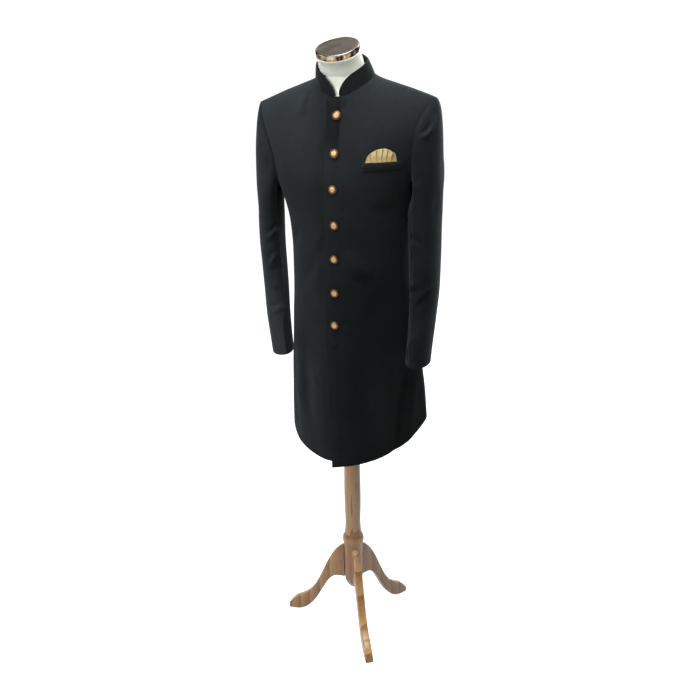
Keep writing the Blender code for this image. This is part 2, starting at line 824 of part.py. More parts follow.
def neck_ring(share):
    """Ring of the neck, from its base (0) to the cap (1)."""
    tilt = math.radians(CAP_TILT) * ease(0.0, 1.0, share)
    top = np.array(CAP_CENTRE)
    top = top - (CAP_HEIGHT + SEAM) * np.array([0.0, -math.sin(tilt), math.cos(tilt)])
    bottom = np.array([0.0, NECK_BASE_Y, NECK_BASE_Z])
    centre = bottom + (top - bottom) * share
    slim = 0.0065 * math.sin(math.pi * share)
    x_radius = NECK_BASE_X_RADIUS + (CAP_RADIUS - NECK_BASE_X_RADIUS) * share
    y_radius = NECK_BASE_Y_RADIUS + (CAP_RADIUS - NECK_BASE_Y_RADIUS) * share - slim
    ring = []
    for k in range(FORM_SIDES):
        turn = 2 * math.pi * k / FORM_SIDES
        x = x_radius * math.sin(turn)
        y = -y_radius * math.cos(turn)
        ring.append(centre + np.array([x, y * math.cos(tilt), y * math.sin(tilt)]))
    return ring


def make_form():
    rings = [form_ring(z) for z in (0.840, 0.870, 0.920, 0.980, 1.040, 1.100, 1.160, 1.220)]
    rings += [form_ring(z) for z in (1.280, 1.330, 1.370, 1.410, 1.450, 1.480, 1.500)]
    rings += [form_ring(z) for z in (1.520, 1.535, 1.546)]
    # The neck grows out of the shoulders: each ring takes the wider of the two forms.
    for z in NECK_ROOT_HEIGHTS:
        shoulders = form_ring(min(z, 1.6065))
        ring = []
        for k in range(FORM_SIDES):
            centre = np.array([0.0, NECK_BASE_Y])
            one = np.linalg.norm(shoulders[k][:2] - centre)
            turn = math.atan2(shoulders[k][0], -(shoulders[k][1] - NECK_BASE_Y))
            two = NECK_BASE_X_RADIUS * NECK_BASE_Y_RADIUS / math.hypot(
                NECK_BASE_Y_RADIUS * math.sin(turn), NECK_BASE_X_RADIUS * math.cos(turn)
            )
            reach = (one**20 + two**20) ** (1 / 20)
            flat = centre + reach * np.array([math.sin(turn), -math.cos(turn)])
            ring.append(np.array([flat[0], flat[1], z]))
        rings.append(ring)
    rings += [neck_ring(share) for share in (0.3, 0.5, 0.7, 0.85, 1.0)]
    rings = [[lean(p) for p in ring] for ring in rings]
    lofted("form_torso", rings, "form_white")


def make_cap():
    tilt = math.radians(CAP_TILT)
    axis = np.array([0.0, -math.sin(tilt), math.cos(tilt)])
    across = np.array([1.0, 0.0, 0.0])
    along = np.cross(axis, across)
    rings = []
    for share, height in (
        (0.985, -CAP_HEIGHT),
        (1.0, -CAP_HEIGHT + 0.001),
        (1.0, -0.0022),
        (0.985, -0.0007),
        (0.955, 0.0),
    ):
        ring = []
        for k in range(40):
            turn = 2 * math.pi * k / 40
            spoke = across * math.cos(turn) + along * math.sin(turn)
            ring.append(np.array(CAP_CENTRE) + axis * height + spoke * CAP_RADIUS * share)
        rings.append([lean(p) for p in ring])
    lofted("form_neck_cap", rings, "chrome")


def make_pole():
    rings = []
    for z, radius in POLE:
        ring = []
        for k in range(POLE_SIDES):
            turn = 2 * math.pi * k / POLE_SIDES
            ring.append((radius * math.cos(turn), radius * math.sin(turn), z))
        rings.append(ring)
    lofted("stand_pole", rings, "stand_wood")


def make_legs():
    half = LEG_THICKNESS / 2
    for number, degrees in enumerate(LEG_ANGLES, 1):
        turn = math.radians(degrees)
        rings = []
        for reach, top, bottom in LEG:
            ring = []
            soft = 0.22 * (top - bottom)
            for across, z in (
                (-half * 0.82, bottom),
                (half * 0.82, bottom),
                (half, bottom + soft),
                (half, top - soft),
                (half * 0.7, top),
                (-half * 0.7, top),
                (-half, top - soft),
                (-half, bottom + soft),
            ):
                x = reach * math.cos(turn) - across * math.sin(turn)
                y = reach * math.sin(turn) + across * math.cos(turn)
                ring.append((x, y, z))
            rings.append(ring)
        lofted("stand_leg_%d" % number, rings, "stand_wood")


for old in list(bpy.data.objects):
    bpy.data.objects.remove(old)
make_body()
make_sleeves()
make_collar()
make_buttons()
make_pocket()
make_form()
make_cap()
make_pole()
make_legs()
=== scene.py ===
"""Looks of the sherwani coat on its dress form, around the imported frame.

Metres. The coat's front faces -Y, its wearer's left is +X and +Z is up. The surfaces below are
worked out from the same named sizes as the solids, at a finer pitch and with the cloth's creases.
"""

import math

import bpy
import numpy as np
from mathutils import Matrix, Vector


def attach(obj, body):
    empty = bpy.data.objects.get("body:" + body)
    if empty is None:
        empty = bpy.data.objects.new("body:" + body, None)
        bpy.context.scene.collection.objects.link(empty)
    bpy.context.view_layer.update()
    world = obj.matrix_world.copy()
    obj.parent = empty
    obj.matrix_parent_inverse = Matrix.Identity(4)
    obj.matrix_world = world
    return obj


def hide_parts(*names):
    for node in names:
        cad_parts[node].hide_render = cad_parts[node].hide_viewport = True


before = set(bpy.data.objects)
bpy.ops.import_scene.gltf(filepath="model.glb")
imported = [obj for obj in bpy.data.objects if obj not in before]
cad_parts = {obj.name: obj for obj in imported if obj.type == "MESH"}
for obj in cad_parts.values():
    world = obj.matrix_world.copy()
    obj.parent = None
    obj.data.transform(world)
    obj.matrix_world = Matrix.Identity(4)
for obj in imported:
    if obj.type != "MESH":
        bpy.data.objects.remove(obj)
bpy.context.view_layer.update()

# Cloth and seams
WALL = 0.0020
COLLAR_WALL = 0.0026
SEAM = 0.00016
# How far a cloth edge is rounded in, as a share of its thickness
ROUND_IN = 0.13
EVEN = (1.0, 1.0, 1.0, 1.0)

# Coat body, by height
BODY_SECTIONS = [
    # z, half_width, front, back, side, front_round, back_round
    (0.560, 0.205, -0.108, 0.196, 0.078, 1.85, 1.40),
    (0.700, 0.198, -0.112, 0.190, 0.069, 1.70, 1.35),
    (0.850, 0.186, -0.119, 0.181, 0.056, 1.45, 1.25),
    (1.000, 0.166, -0.122, 0.170, 0.040, 1.15, 1.08),
    (1.100, 0.156, -0.120, 0.161, 0.032, 1.02, 1.02),
    (1.200, 0.155, -0.121, 0.159, 0.027, 1.00, 1.00),
    (1.270, 0.161, -0.124, 0.162, 0.024, 0.97, 0.98),
    (1.330, 0.177, -0.124, 0.165, 0.022, 0.92, 0.95),
    (1.400, 0.202, -0.119, 0.167, 0.020, 0.88, 0.95),
    (1.450, 0.218, -0.114, 0.166, 0.018, 0.86, 0.95),
    (1.500, 0.231, -0.110, 0.165, 0.017, 0.86, 0.95),
    (1.660, 0.243, -0.108, 0.165, 0.016, 0.86, 0.95),
]
CHEST_Z = 1.340
BLADE_Z = 1.420
RISE = 0.25
CHEST_POWER = 1.20
BLADE_POWER = 1.00
RIDGE = [
    # x, z
    (0.0000, 1.6350),
    (0.0450, 1.6220),
    (0.0765, 1.6030),
    (0.1200, 1.5870),
    (0.1650, 1.5715),
    (0.2120, 1.5535),
    (0.2400, 1.5425),
]
RIDGE_GUESS = 1.57
NECK_X = 0.0765
NECK_FRONT_Z = 1.565
NECK_BACK_Z = 1.618
SHOULDER_X = {+1: 0.219, -1: 0.232}
PIT_Z = 1.330
ARMHOLE = {
    +1: [
        # z, front, back
        (1.3300, 0.1770, 0.1770),
        (1.3600, 0.1770, 0.1800),
        (1.4000, 0.1790, 0.1840),
        (1.4500, 0.1830, 0.1900),
        (1.5100, 0.1960, 0.2030),
        (1.5508, 0.2190, 0.2190),
    ],
    -1: [
        (1.3300, 0.1770, 0.1770),
        (1.3600, 0.1690, 0.1800),
        (1.4000, 0.1690, 0.1840),
        (1.4500, 0.1860, 0.1910),
        (1.5000, 0.2150, 0.2090),
        (1.5457, 0.2320, 0.2320),
    ],
}
LEAN = 0.040
LEAN_FROM_Z = 1.000
LEAN_TO_Z = 1.450
# How far the front edges and buttons stand off the middle of the body, by height.
SWAY = [
    (0.560, 0.0040),
    (0.850, 0.0036),
    (1.000, 0.0022),
    (1.090, 0.0034),
    (1.180, 0.0042),
    (1.255, 0.0072),
    (1.350, 0.0052),
    (1.440, 0.0064),
    (1.530, 0.0052),
    (1.570, 0.0014),
    (1.600, 0.0000),
]
SWAY_REACH = 0.150
HEM = {
    +1: [(0.0, 0.577), (0.25, 0.613), (0.5, 0.676), (0.75, 0.635), (1.0, 0.604)],
    -1: [(0.0, 0.590), (0.25, 0.598), (0.5, 0.604), (0.75, 0.600), (1.0, 0.600)],
}
LAP = 0.023
UNDERLAP = 0.020
LAP_STEP = 0.0034
# Where the right front comes up from under the left one
TUCK_X = (0.026, 0.050)
PANEL_COLUMNS = 14
NECK_COLUMNS = 8
SKIRT_ROWS = 10
CHEST_ROWS = 11

SLEEVE_SECTIONS = {
    +1: [
        # z, x, y, half_across, half_along, turn_degrees
        (1.265, 0.2030, 0.018, 0.0390, 0.0690, 0.0),
        (1.150, 0.2035, 0.020, 0.0370, 0.0650, 0.0),
        (1.060, 0.2030, 0.014, 0.0355, 0.0610, 0.0),
        (0.970, 0.2020, -0.010, 0.0325, 0.0570, 0.0),
        (0.888, 0.2010, -0.034, 0.0300, 0.0530, 0.0),
    ],
    -1: [
        (1.265, 0.2195, 0.018, 0.0305, 0.0690, 8.0),
        (1.150, 0.2190, 0.020, 0.0300, 0.0650, 8.0),
        (1.060, 0.2125, 0.014, 0.0295, 0.0610, 8.0),
        (0.970, 0.1960, -0.014, 0.0285, 0.0560, 11.0),
        (0.889, 0.1745, -0.047, 0.0280, 0.0500, 17.0),
    ],
}
FORE_SEAM = 2
HIND_SEAM = 4
FORE_TURN = 128.0
HIND_TURN = -100.0
HEAD_PUFF = {+1: 0.023, -1: 0.014}
PIT_PUFF = 0.0187
# How far the line of the arm carries on up into the sleeve's head, and how its rows are spaced
HEAD_PULL = 0.66
HEAD_POWER = 1.15
# Length of arm over which that line is measured
ARM_PROBE = 0.02
HEAD_ROWS = 7
# How far a sleeve's top edge runs in under the body's armhole
SLEEVE_TUCK = 0.0011
ARM_ROWS = 8

COLLAR_HEIGHT = 0.040
COLLAR_ROUND = 0.045
COLLAR_END = 0.0045
COLLAR_FIRST = math.degrees(math.asin(COLLAR_END / NECK_X))
# How much the collar leans in, in front and behind.
COLLAR_LEAN = (0.09, 0.36)
COLLAR_SHIFT = -0.004
COLLAR_LIFT = 0.0001
# How far its foot goes down with the right front, in steps of the lap, and from where
COLLAR_SINK = 1.10
COLLAR_SINK_X = (0.006, 0.016)
# Share of its height that is left at its ends, and the point that it leans towards
COLLAR_LEAST = 0.12
COLLAR_CENTRE = (0.0, -0.006)
# Turns over which the lean passes from that in front to that behind
COLLAR_LEAN_TURNS = (55.0, 95.0)
# Waves along its top edge: wave number, phase and height
COLLAR_WAVES = ((61.0, 0.7, 0.00045), (97.0, 2.0, 0.0003))
COLLAR_BELLY = 0.0007
COLLAR_ROWS = 4

BUTTON_RADIUS = 0.01175
# Height of its back over the cloth, and its visible radius as a share of the whole
BUTTON_SHANK = 0.0006
BUTTON_FIT = 0.99
BUTTON_PROFILE = [
    # share of the radius, height off the cloth
    (0.00, 0.00460),
    (0.20, 0.00452),
    (0.45, 0.00420),
    (0.66, 0.00365),
    (0.78, 0.00310),
    (0.84, 0.00275),
    (0.88, 0.00268),
    (0.93, 0.00268),
    (0.97, 0.00220),
    (0.995, 0.0015),
    (1.00, 0.0010),
    (0.97, 0.0003),
    (0.90, 0.0000),
]
PETALS = 8
BEADS = 32
# Heights of the flower, its hub and the beads, and their tones over the ground's
BUTTON_RELIEF = (0.00026, 0.00022, 0.00016)
BUTTON_TONES = (0.60, 0.50, 0.24)
BUTTON_GROUND = 0.16
BUTTON_RIM_SHADE = 0.60
BUTTON_HEIGHTS = (1.5225, 1.4365, 1.3525, 1.2640, 1.1765, 1.0875, 1.0015)
WELT = {"inner": 0.073, "outer": 0.162, "bottom": 1.3945, "top": 1.4140, "slant": -0.017}
SQUARE = {"inner": 0.0785, "outer": 0.1515, "height": 0.030, "hidden": 0.005}
# Width and height of the welt, and the thickness of the welt and of the square
WELT_SPAN = (0.085, 0.021)
WELT_WALL = 0.0018
SQUARE_WALL = 0.0010
# Distance of the rolled hem from the fan's outline, and its half-width
SQUARE_HEM = (0.0011, 0.0010)
# Share of each pleat at which it is highest
PLEAT_CREST = 0.80
# Outline of the pocket square's fan: share across it, share of its height.
SQUARE_BROW = [
    (0.00, 0.00),
    (0.05, 0.33),
    (0.10, 0.52),
    (0.28, 0.84),
    (0.475, 0.98),
    (0.58, 1.00),
    (0.725, 0.93),
    (0.85, 0.75),
    (0.96, 0.46),
    (1.00, 0.00),
]
# Folds of the fan: share across it at the foot and at the outline.
SQUARE_FOLDS = [(0.215, 0.14), (0.40, 0.37), (0.54, 0.585), (0.67, 0.745), (0.82, 0.91)]

FORM_SECTIONS = [
    # z, half_width, front, back, side
    (0.840, 0.128, -0.088, 0.118, 0.020),
    (0.900, 0.140, -0.100, 0.132, 0.022),
    (0.980, 0.144, -0.104, 0.136, 0.022),
    (1.080, 0.134, -0.100, 0.124, 0.020),
    (1.160, 0.131, -0.101, 0.120, 0.018),
    (1.260, 0.142, -0.112, 0.138, 0.018),
    (1.330, 0.158, -0.1120, 0.1540, 0.018),
    (1.400, 0.180, -0.1070, 0.1595, 0.018),
    (1.450, 0.190, -0.1020, 0.1595, 0.018),
    (1.500, 0.196, -0.0980, 0.1590, 0.017),
    (1.660, 0.196, -0.0960, 0.1590, 0.016),
]
FORM_DROP = 0.0034
FORM_CHEST_POWER = 1.30
STUMP_FROM = 0.150
STUMP_TO = 0.194
STUMP_FALL = 0.042
CAP_RADIUS = 0.0532
CAP_HEIGHT = 0.015
CAP_CENTRE = (-0.0085, -0.030, 1.677)
CAP_TILT = 20.0
NECK_BASE_Z = 1.600
NECK_BASE_Y = 0.001
NECK_BASE_X_RADIUS = 0.0590
NECK_BASE_Y_RADIUS = 0.0535
NECK_SLIM = 0.0065
NECK_ROOT_HEIGHTS = (1.556, 1.566, 1.576, 1.585, 1.593, 1.600, 1.6066)
NECK_ROOT_TOP_Z = 1.6065
# How sharply the neck meets the shoulders: higher is sharper
NECK_ROOT_POWER = 20
NECK_SHARES = (0.3, 0.5, 0.7, 0.85, 1.0)
FORM_HEIGHTS = (0.840, 0.870, 0.920, 0.980, 1.040, 1.100, 1.160, 1.220, 1.280, 1.330, 1.370)
FORM_HEIGHTS += (1.410, 1.450, 1.480, 1.500, 1.520, 1.535, 1.546)
FORM_SIDES = 160
# How far the form's foot turns in, and the height of its rounding
FOOT_SHARE = 0.97
FOOT_ROUND = 0.0025
POLE = [
    # z, radius
    (0.118, 0.0060),
    (0.126, 0.0150),
    (0.140, 0.0230),
    (0.150, 0.0270),
    (0.270, 0.0270),
    (0.282, 0.0310),
    (0.296, 0.0310),
    (0.306, 0.0250),
    (0.340, 0.0215),
    (0.420, 0.0245),
    (0.560, 0.0225),
    (0.700, 0.0200),
    (0.770, 0.0190),
    (0.780, 0.0260),
    (0.798, 0.0260),
    (0.806, 0.0200),
    (0.8395, 0.0200),
]
LEG = [
    # reach, top, bottom
    (0.0274, 0.262, 0.150),
    (0.0420, 0.252, 0.150),
    (0.0600, 0.232, 0.146),
    (0.0800, 0.196, 0.126),
    (0.1000, 0.150, 0.090),
    (0.1220, 0.104, 0.050),
    (0.1460, 0.072, 0.020),
    (0.1720, 0.052, 0.004),
    (0.1950, 0.036, 0.000),
    (0.2090, 0.018, 0.000),
]
LEG_THICKNESS = 0.022
LEG_ANGLES = (60.0, 180.0, 300.0)

# Pitch of the visible surfaces: steps for each step of the solids.
ACROSS = 8
DOWN_SKIRT = 16
DOWN_CHEST = 8
DOWN_HEAD = 8
DOWN_ARM = 11
# Finer steps at the ends of those
EDGE_STEPS = (0.02, 0.05, 0.085)
HEM_STEPS = (0.007, 0.018)
HEAD_STEPS = (0.03, 0.08)
ARM_STEPS = (0.012, 0.03)
POCKET_STEPS = (0.02, 0.05)

# Creases of the body, by side of the wearer and whether they are behind. Distances are from the
# centre line out.
# path of (x, z), width left and right of the path, height
BODY_CREASES = {
    (+1, False): [
        ([(0.026, 1.562), (0.019, 1.546), (0.0125, 1.528)], 0.005, 0.006, -0.002),
        ([(0.033, 1.326), (0.025, 1.288)], 0.01, 0.012, -0.0018),
        ([(0.15, 1.372), (0.156, 1.32), (0.15, 1.27)], 0.012, 0.016, -0.004),
        ([(0.1, 1.3), (0.142, 1.292)], 0.014, 0.012, -0.0034),
        ([(0.03, 1.2), (0.06, 1.16), (0.095, 1.14)], 0.02, 0.016, 0.0034),
        ([(0.045, 1.13), (0.095, 1.11)], 0.018, 0.014, -0.004),
        ([(0.105, 1.07), (0.08, 1.01)], 0.02, 0.02, -0.003),
        ([(-0.016, 0.9475), (0.008, 0.949)], 0.0024, 0.004, 0.0026),
        ([(0.007, 0.946), (-0.005, 0.934)], 0.003, 0.003, -0.002),
        ([(0.04, 0.93), (0.05, 0.848), (0.048, 0.72)], 0.02, 0.02, -0.0024),
        ([(0.09, 0.9), (0.1, 0.78), (0.102, 0.63)], 0.022, 0.024, 0.003),
        ([(0.16, 0.85), (0.148, 0.74), (0.133, 0.56)], 0.012, 0.02, -0.0062),
        ([(0.178, 0.84), (0.172, 0.73), (0.162, 0.6)], 0.02, 0.018, 0.0042),
    ],
    (+1, True): [
        ([(0.1, 1.48), (0.09, 1.37), (0.062, 1.22)], 0.024, 0.018, 0.0042),
        ([(0.15, 1.42), (0.125, 1.32)], 0.018, 0.014, -0.004),
        ([(0.03, 1.16), (0.1, 1.175)], 0.016, 0.02, -0.004),
        ([(0.04, 1.11), (0.11, 1.095)], 0.016, 0.022, 0.003),
        ([(0.07, 1.02), (0.095, 0.8), (0.105, 0.56)], 0.026, 0.034, -0.007),
        ([(0.13, 0.96), (0.15, 0.76), (0.16, 0.56)], 0.03, 0.026, 0.0056),
    ],
    (-1, False): [
        ([(0.082, 1.575), (0.0865, 1.54), (0.09, 1.512)], 0.006, 0.012, -0.0026),
        ([(0.096, 1.565), (0.099, 1.52)], 0.01, 0.012, 0.002),
        ([(0.028, 1.492), (0.029, 1.43)], 0.006, 0.01, -0.0018),
        ([(0.11, 1.5), (0.09, 1.42), (0.06, 1.35)], 0.026, 0.03, 0.0026),
        ([(0.02, 1.27), (0.04, 1.225), (0.058, 1.18)], 0.018, 0.014, 0.0018),
        ([(0.022, 1.205), (0.05, 1.14), (0.086, 1.065)], 0.018, 0.022, 0.003),
        ([(0.034, 1.215), (0.058, 1.15), (0.08, 1.11)], 0.018, 0.016, -0.0022),
        ([(0.1, 1.24), (0.125, 1.2)], 0.016, 0.016, -0.003),
        ([(0.06, 1.04), (0.04, 0.98)], 0.016, 0.02, -0.0024),
        ([(0.062, 0.84), (0.048, 0.822)], 0.006, 0.007, -0.002),
        ([(0.056, 0.9), (0.062, 0.78), (0.06, 0.64)], 0.018, 0.02, 0.0022),
        ([(0.095, 0.98), (0.1, 0.8), (0.098, 0.66)], 0.024, 0.022, -0.0034),
        ([(0.128, 0.9), (0.135, 0.76), (0.138, 0.6)], 0.024, 0.026, 0.0034),
    ],
    (-1, True): [
        ([(0.104, 1.47), (0.092, 1.38), (0.07, 1.25)], 0.022, 0.018, 0.004),
        ([(0.146, 1.4), (0.13, 1.31)], 0.016, 0.016, -0.0036),
        ([(0.026, 1.15), (0.092, 1.16)], 0.018, 0.018, -0.0036),
        ([(0.05, 1.09), (0.118, 1.105)], 0.018, 0.018, 0.0028),
        ([(0.082, 1.0), (0.098, 0.78), (0.118, 0.56)], 0.03, 0.03, -0.0066),
        ([(0.14, 0.94), (0.154, 0.76), (0.17, 0.56)], 0.028, 0.028, 0.0056),
    ],
}
# Creases of the sleeves, for each side. Turns are 0 on the outside, 90 in front, 180 inside.
# path of (turn, z), width left and right of the path, height
SLEEVE_CREASES = {
    +1: [
        ([(36, 1.516), (44, 1.492), (56, 1.472), (74, 1.464), (90, 1.461)], 0.005, 0.009, 0.0048),
        ([(46, 1.5), (62, 1.479), (80, 1.471)], 0.005, 0.006, -0.0036),
        ([(42, 1.53), (60, 1.51), (78, 1.486)], 0.006, 0.008, 0.0026),
        ([(90, 1.446), (98, 1.425), (100, 1.4)], 0.005, 0.006, -0.0022),
        ([(104, 1.41), (108, 1.37)], 0.006, 0.007, 0.002),
        ([(78, 1.36), (100, 1.35), (124, 1.356)], 0.007, 0.008, 0.002),
        ([(138, 1.216), (112, 1.22), (80, 1.205)], 0.006, 0.006, -0.003),
        ([(141, 1.197), (112, 1.204), (84, 1.191)], 0.006, 0.006, 0.0026),
        ([(130, 1.176), (108, 1.164)], 0.007, 0.007, -0.0022),
        ([(128, 1.13), (104, 1.108)], 0.008, 0.008, 0.0022),
        ([(68, 1.29), (68, 1.18), (62, 1.06)], 0.015, 0.015, 0.0024),
        ([(46, 1.1), (78, 1.074), (108, 1.048)], 0.005, 0.006, 0.0032),
        ([(50, 1.086), (80, 1.061), (106, 1.039)], 0.005, 0.006, -0.0034),
        ([(148, 1.086), (112, 1.1), (88, 1.104)], 0.006, 0.006, 0.0028),
        ([(144, 1.072), (118, 1.082), (92, 1.09)], 0.006, 0.006, -0.003),
        ([(144, 1.052), (118, 1.062)], 0.006, 0.006, 0.0022),
        ([(140, 1.034), (116, 1.03), (92, 1.022)], 0.006, 0.006, -0.0022),
        ([(-60, 1.21), (-96, 1.17)], 0.01, 0.01, -0.0034),
        ([(-70, 1.14), (-104, 1.12)], 0.008, 0.01, 0.0034),
        ([(-64, 1.11), (-100, 1.09)], 0.008, 0.008, -0.0034),
        ([(-80, 1.07), (-108, 1.06)], 0.008, 0.01, 0.003),
        ([(-20, 1.4), (-30, 1.32)], 0.014, 0.014, 0.0022),
        ([(24, 1.34), (36, 1.26)], 0.016, 0.016, -0.002),
        ([(-10, 1.12), (-2, 1.0)], 0.014, 0.014, -0.002),
        ([(166, 1.33), (166, 1.2), (162, 1.07)], 0.026, 0.03, 0.0062),
    ],
    -1: [
        ([(40, 1.5), (60, 1.47), (78, 1.446)], 0.007, 0.009, 0.0026),
        ([(92, 1.42), (104, 1.376)], 0.006, 0.007, -0.0022),
        ([(70, 1.35), (96, 1.33)], 0.01, 0.01, -0.0018),
        ([(94, 1.198), (120, 1.212), (150, 1.216)], 0.007, 0.006, 0.0036),
        ([(98, 1.21), (124, 1.224), (150, 1.228)], 0.006, 0.006, -0.0034),
        ([(90, 1.182), (112, 1.186)], 0.008, 0.008, -0.0022),
        ([(96, 1.12), (116, 1.142), (136, 1.15)], 0.007, 0.007, 0.0036),
        ([(92, 1.136), (110, 1.156)], 0.007, 0.007, -0.0028),
        ([(96, 1.1), (116, 1.11), (138, 1.11)], 0.008, 0.008, -0.0028),
        ([(100, 1.06), (124, 1.07)], 0.007, 0.007, 0.0022),
        ([(84, 0.996), (110, 1.002), (134, 1.006)], 0.006, 0.007, 0.0038),
        ([(88, 1.01), (112, 1.016)], 0.006, 0.006, -0.0024),
        ([(-62, 1.2), (-98, 1.17)], 0.01, 0.01, -0.0032),
        ([(-70, 1.15), (-104, 1.13)], 0.008, 0.01, 0.0032),
        ([(-66, 1.1), (-100, 1.09)], 0.008, 0.008, -0.0032),
        ([(-82, 1.05), (-106, 1.05)], 0.008, 0.01, 0.0028),
        ([(-16, 1.38), (-28, 1.3)], 0.014, 0.014, 0.002),
        ([(20, 1.33), (34, 1.25)], 0.016, 0.016, -0.0018),
        ([(10, 1.1), (14, 0.98)], 0.014, 0.014, -0.0018),
    ],
}
# Pressed edges of the cuffs, in the same measures
SLEEVE_PLEATS = {
    +1: [([(54, 1.022), (82, 0.976), (110, 0.952), (138, 0.924), (160, 0.84)], 0.016, 0.02, 0.006)],
    -1: [
        (
            [(146, 1.25), (143, 1.1), (132, 1.0), (120, 0.96), (113, 0.9), (113, 0.82)],
            0.034,
            0.012,
            0.0085,
        )
    ],
}
# Distance between the points of a crease's line, and how its height falls off at both ends
CREASE_PITCH = 0.002
CREASE_FADE = 0.7
# How many of its widths a crease and a pressed edge reach
CREASE_REACH = 2.6
PLEAT_REACH = 4.0

# Wear of the cloth, with painted light and shade in it: the lower it is, the darker the cloth. It
# rises with rubbing on crests up to this height and at the edges, and falls as painted shade in
# troughs.
WEAR_AT_REST = 0.25
CREST_WEAR_AND_TROUGH_SHADE = 0.35
CREST_HEIGHT = 0.003
WEAR_AT_EDGE = 0.6
# How much painted shade darkens the strip along the left front's edge, and the skirts of both
# fronts
EDGE_STRIP_SHADE = 1.10
EDGE_STRIP_SHADE_FROM_Z = (1.430, 1.475)
EDGE_STRIP_SHADE_SOFT = 0.002
SKIRT_SHADE = {+1: 0.85, -1: 0.38}
SKIRT_SHADE_FROM_Z = (1.30, 1.04)
# Share of that at the front edge, and how much it grows towards the side
SKIRT_SHADE_RISE = (0.6, 0.9)
# How much painted light brightens the right front near the lap, and over which distances from the
# middle
LAP_LIGHT = 0.7
LAP_LIGHT_X = (0.110, 0.035)
# How much painted shade darkens the left sleeve, all over and more at its foot
LEFT_SLEEVE_SHADE = (0.2, 0.6)
LOW_FROM_Z = (1.24, 1.02)
# How much painted light brightens the right sleeve's front, and painted shade darkens its inner
# face, below a height
FACE_LIGHT = 1.15
INNER_SHADE = 1.4
FACE_FROM_Z = (1.42, 1.34)
# Turns over which the front begins, where it ends round the crest, and where the inner face begins
# past the crest and ends
FACE_TURNS = (30, 60)
CREST_HALF = 6
INNER_RUN = (-4, 8)
INNER_TURNS = (215, 185)
# Painted shade where the cloth goes in to a seam and in the hollow beside the right armhole: depth
# and width
NECK_SHADE = (0.7, 0.0025)
ARMHOLE_SHADE = (0.5, 0.003)
VALLEY_SHADE = (0.9, 0.006)
# Turn of the crest along the right sleeve's front, by height
FORE_CREST = [
    (0.840, 113.0),
    (0.900, 113.0),
    (0.960, 120.0),
    (1.000, 132.0),
    (1.100, 143.0),
    (1.250, 146.0),
]
# Depth of the hollow beside the right armhole's seam, and the runs over which it falls and rises
ARM_VALLEY = (0.0130, 0.0030, 0.0150)
# The left front stands a little off the right one along its edge.
EDGE_RISE = [
    # z, height at the edge
    (0.560, 0.0040),
    (1.100, 0.0046),
    (1.200, 0.0032),
    (1.380, 0.0024),
    (1.420, 0.0034),
    (1.470, 0.0080),
    (1.560, 0.0100),
]
EDGE_RUN = 0.031
EDGE_SOFT = 0.005
# Depth and run of the roll in to a seam, and height, distance and width of the bank beside it
SEAM_ROLL = (0.0009, 0.0022)
SEAM_BANK = (0.0003, 0.008, 0.005)
# How deep the cloth rolls in at the armhole and the neckline, as a share of the other seams
ARMHOLE_DIP = 0.25
NECK_DIP = 0.6
# Shallow hollow round each button: depth and width
BUTTON_HOLLOW = (0.0006, 0.016)
# Distances over which the relief grows, from the centre line, an armhole and the neckline
CENTRE_CALM = (0.0, 0.035)
ARMHOLE_CALM = (0.004, 0.030)
SLEEVE_CALM = (0.002, 0.030)
NECK_CALM = (0.001, 0.014)
# How strong the swells are on the chest, how much stronger on the skirt, and on the sleeves
LOOSE = (0.45, 0.75)
LOOSE_FROM_Z = (1.25, 0.75)
SLEEVE_LOOSE = 0.8
# Long low swells of the cloth: wave numbers along x, y and z, phase, height
SWELLS = [
    (21.0, 13.0, 9.0, 0.4, 0.00050),
    (-34.0, 18.0, 24.0, 2.1, 0.00035),
    (12.0, -41.0, 31.0, 4.0, 0.00030),
    (55.0, 22.0, -37.0, 1.3, 0.00018),
    (-18.0, 60.0, 52.0, 5.2, 0.00014),
    (70.0, -48.0, 66.0, 3.3, 0.00008),
]


# Surfaces


def cubic(t, step, low, low_slope, high, high_slope):
    """Value at a share t of a step, on the smooth curve between its two ends."""
    start = (1 + 2 * t) * (1 - t) ** 2 * low + t * (1 - t) ** 2 * step * low_slope
    end = t * t * (3 - 2 * t) * high + t * t * (t - 1) * step * high_slope
    return start + end


def smooth(rows, column, at):
    """Values of a table's column at places along its first column, on a smooth curve."""
    xs = np.array([row[0] for row in rows])
    ys = np.array([row[column] for row in rows])
    slopes = np.gradient(ys, xs)
    at = np.clip(at, xs[0], xs[-1])
    i = np.clip(np.searchsorted(xs, at) - 1, 0, len(xs) - 2)
    step = xs[i + 1] - xs[i]
    return cubic((at - xs[i]) / step, step, ys[i], slopes[i], ys[i + 1], slopes[i + 1])


def ease(low, high, at):
    t = np.clip((at - low) / (high - low), 0.0, 1.0)
    return t * t * (3 - 2 * t)


def bell(at, width):
    return np.exp(-((at / width) ** 2))


def round_turns(sides):
    return np.linspace(0, 2 * math.pi, sides, endpoint=False)


def unit(vectors):
    return vectors / np.linalg.norm(vectors, axis=-1, keepdims=True)


def leaned(points):
    """The slight drop of the wearer's right shoulder and the sway of the front."""
    moved = np.array(points, float)
    x, y, z = moved[..., 0], moved[..., 1], moved[..., 2]
    near = np.maximum(1 - (x / SWAY_REACH) ** 2, 0.0) ** 2 * ease(0.03, 0.07, -y)
    fall = LEAN * x * ease(LEAN_FROM_Z, LEAN_TO_Z, z)
    moved[..., 0] += smooth(SWAY, 1, z) * near
    moved[..., 2] += fall
    return moved


def ridge(x):
    return smooth(RIDGE, 1, np.abs(x))


def ridge_y(x):
    return -0.005 + 0.1 * np.abs(x)


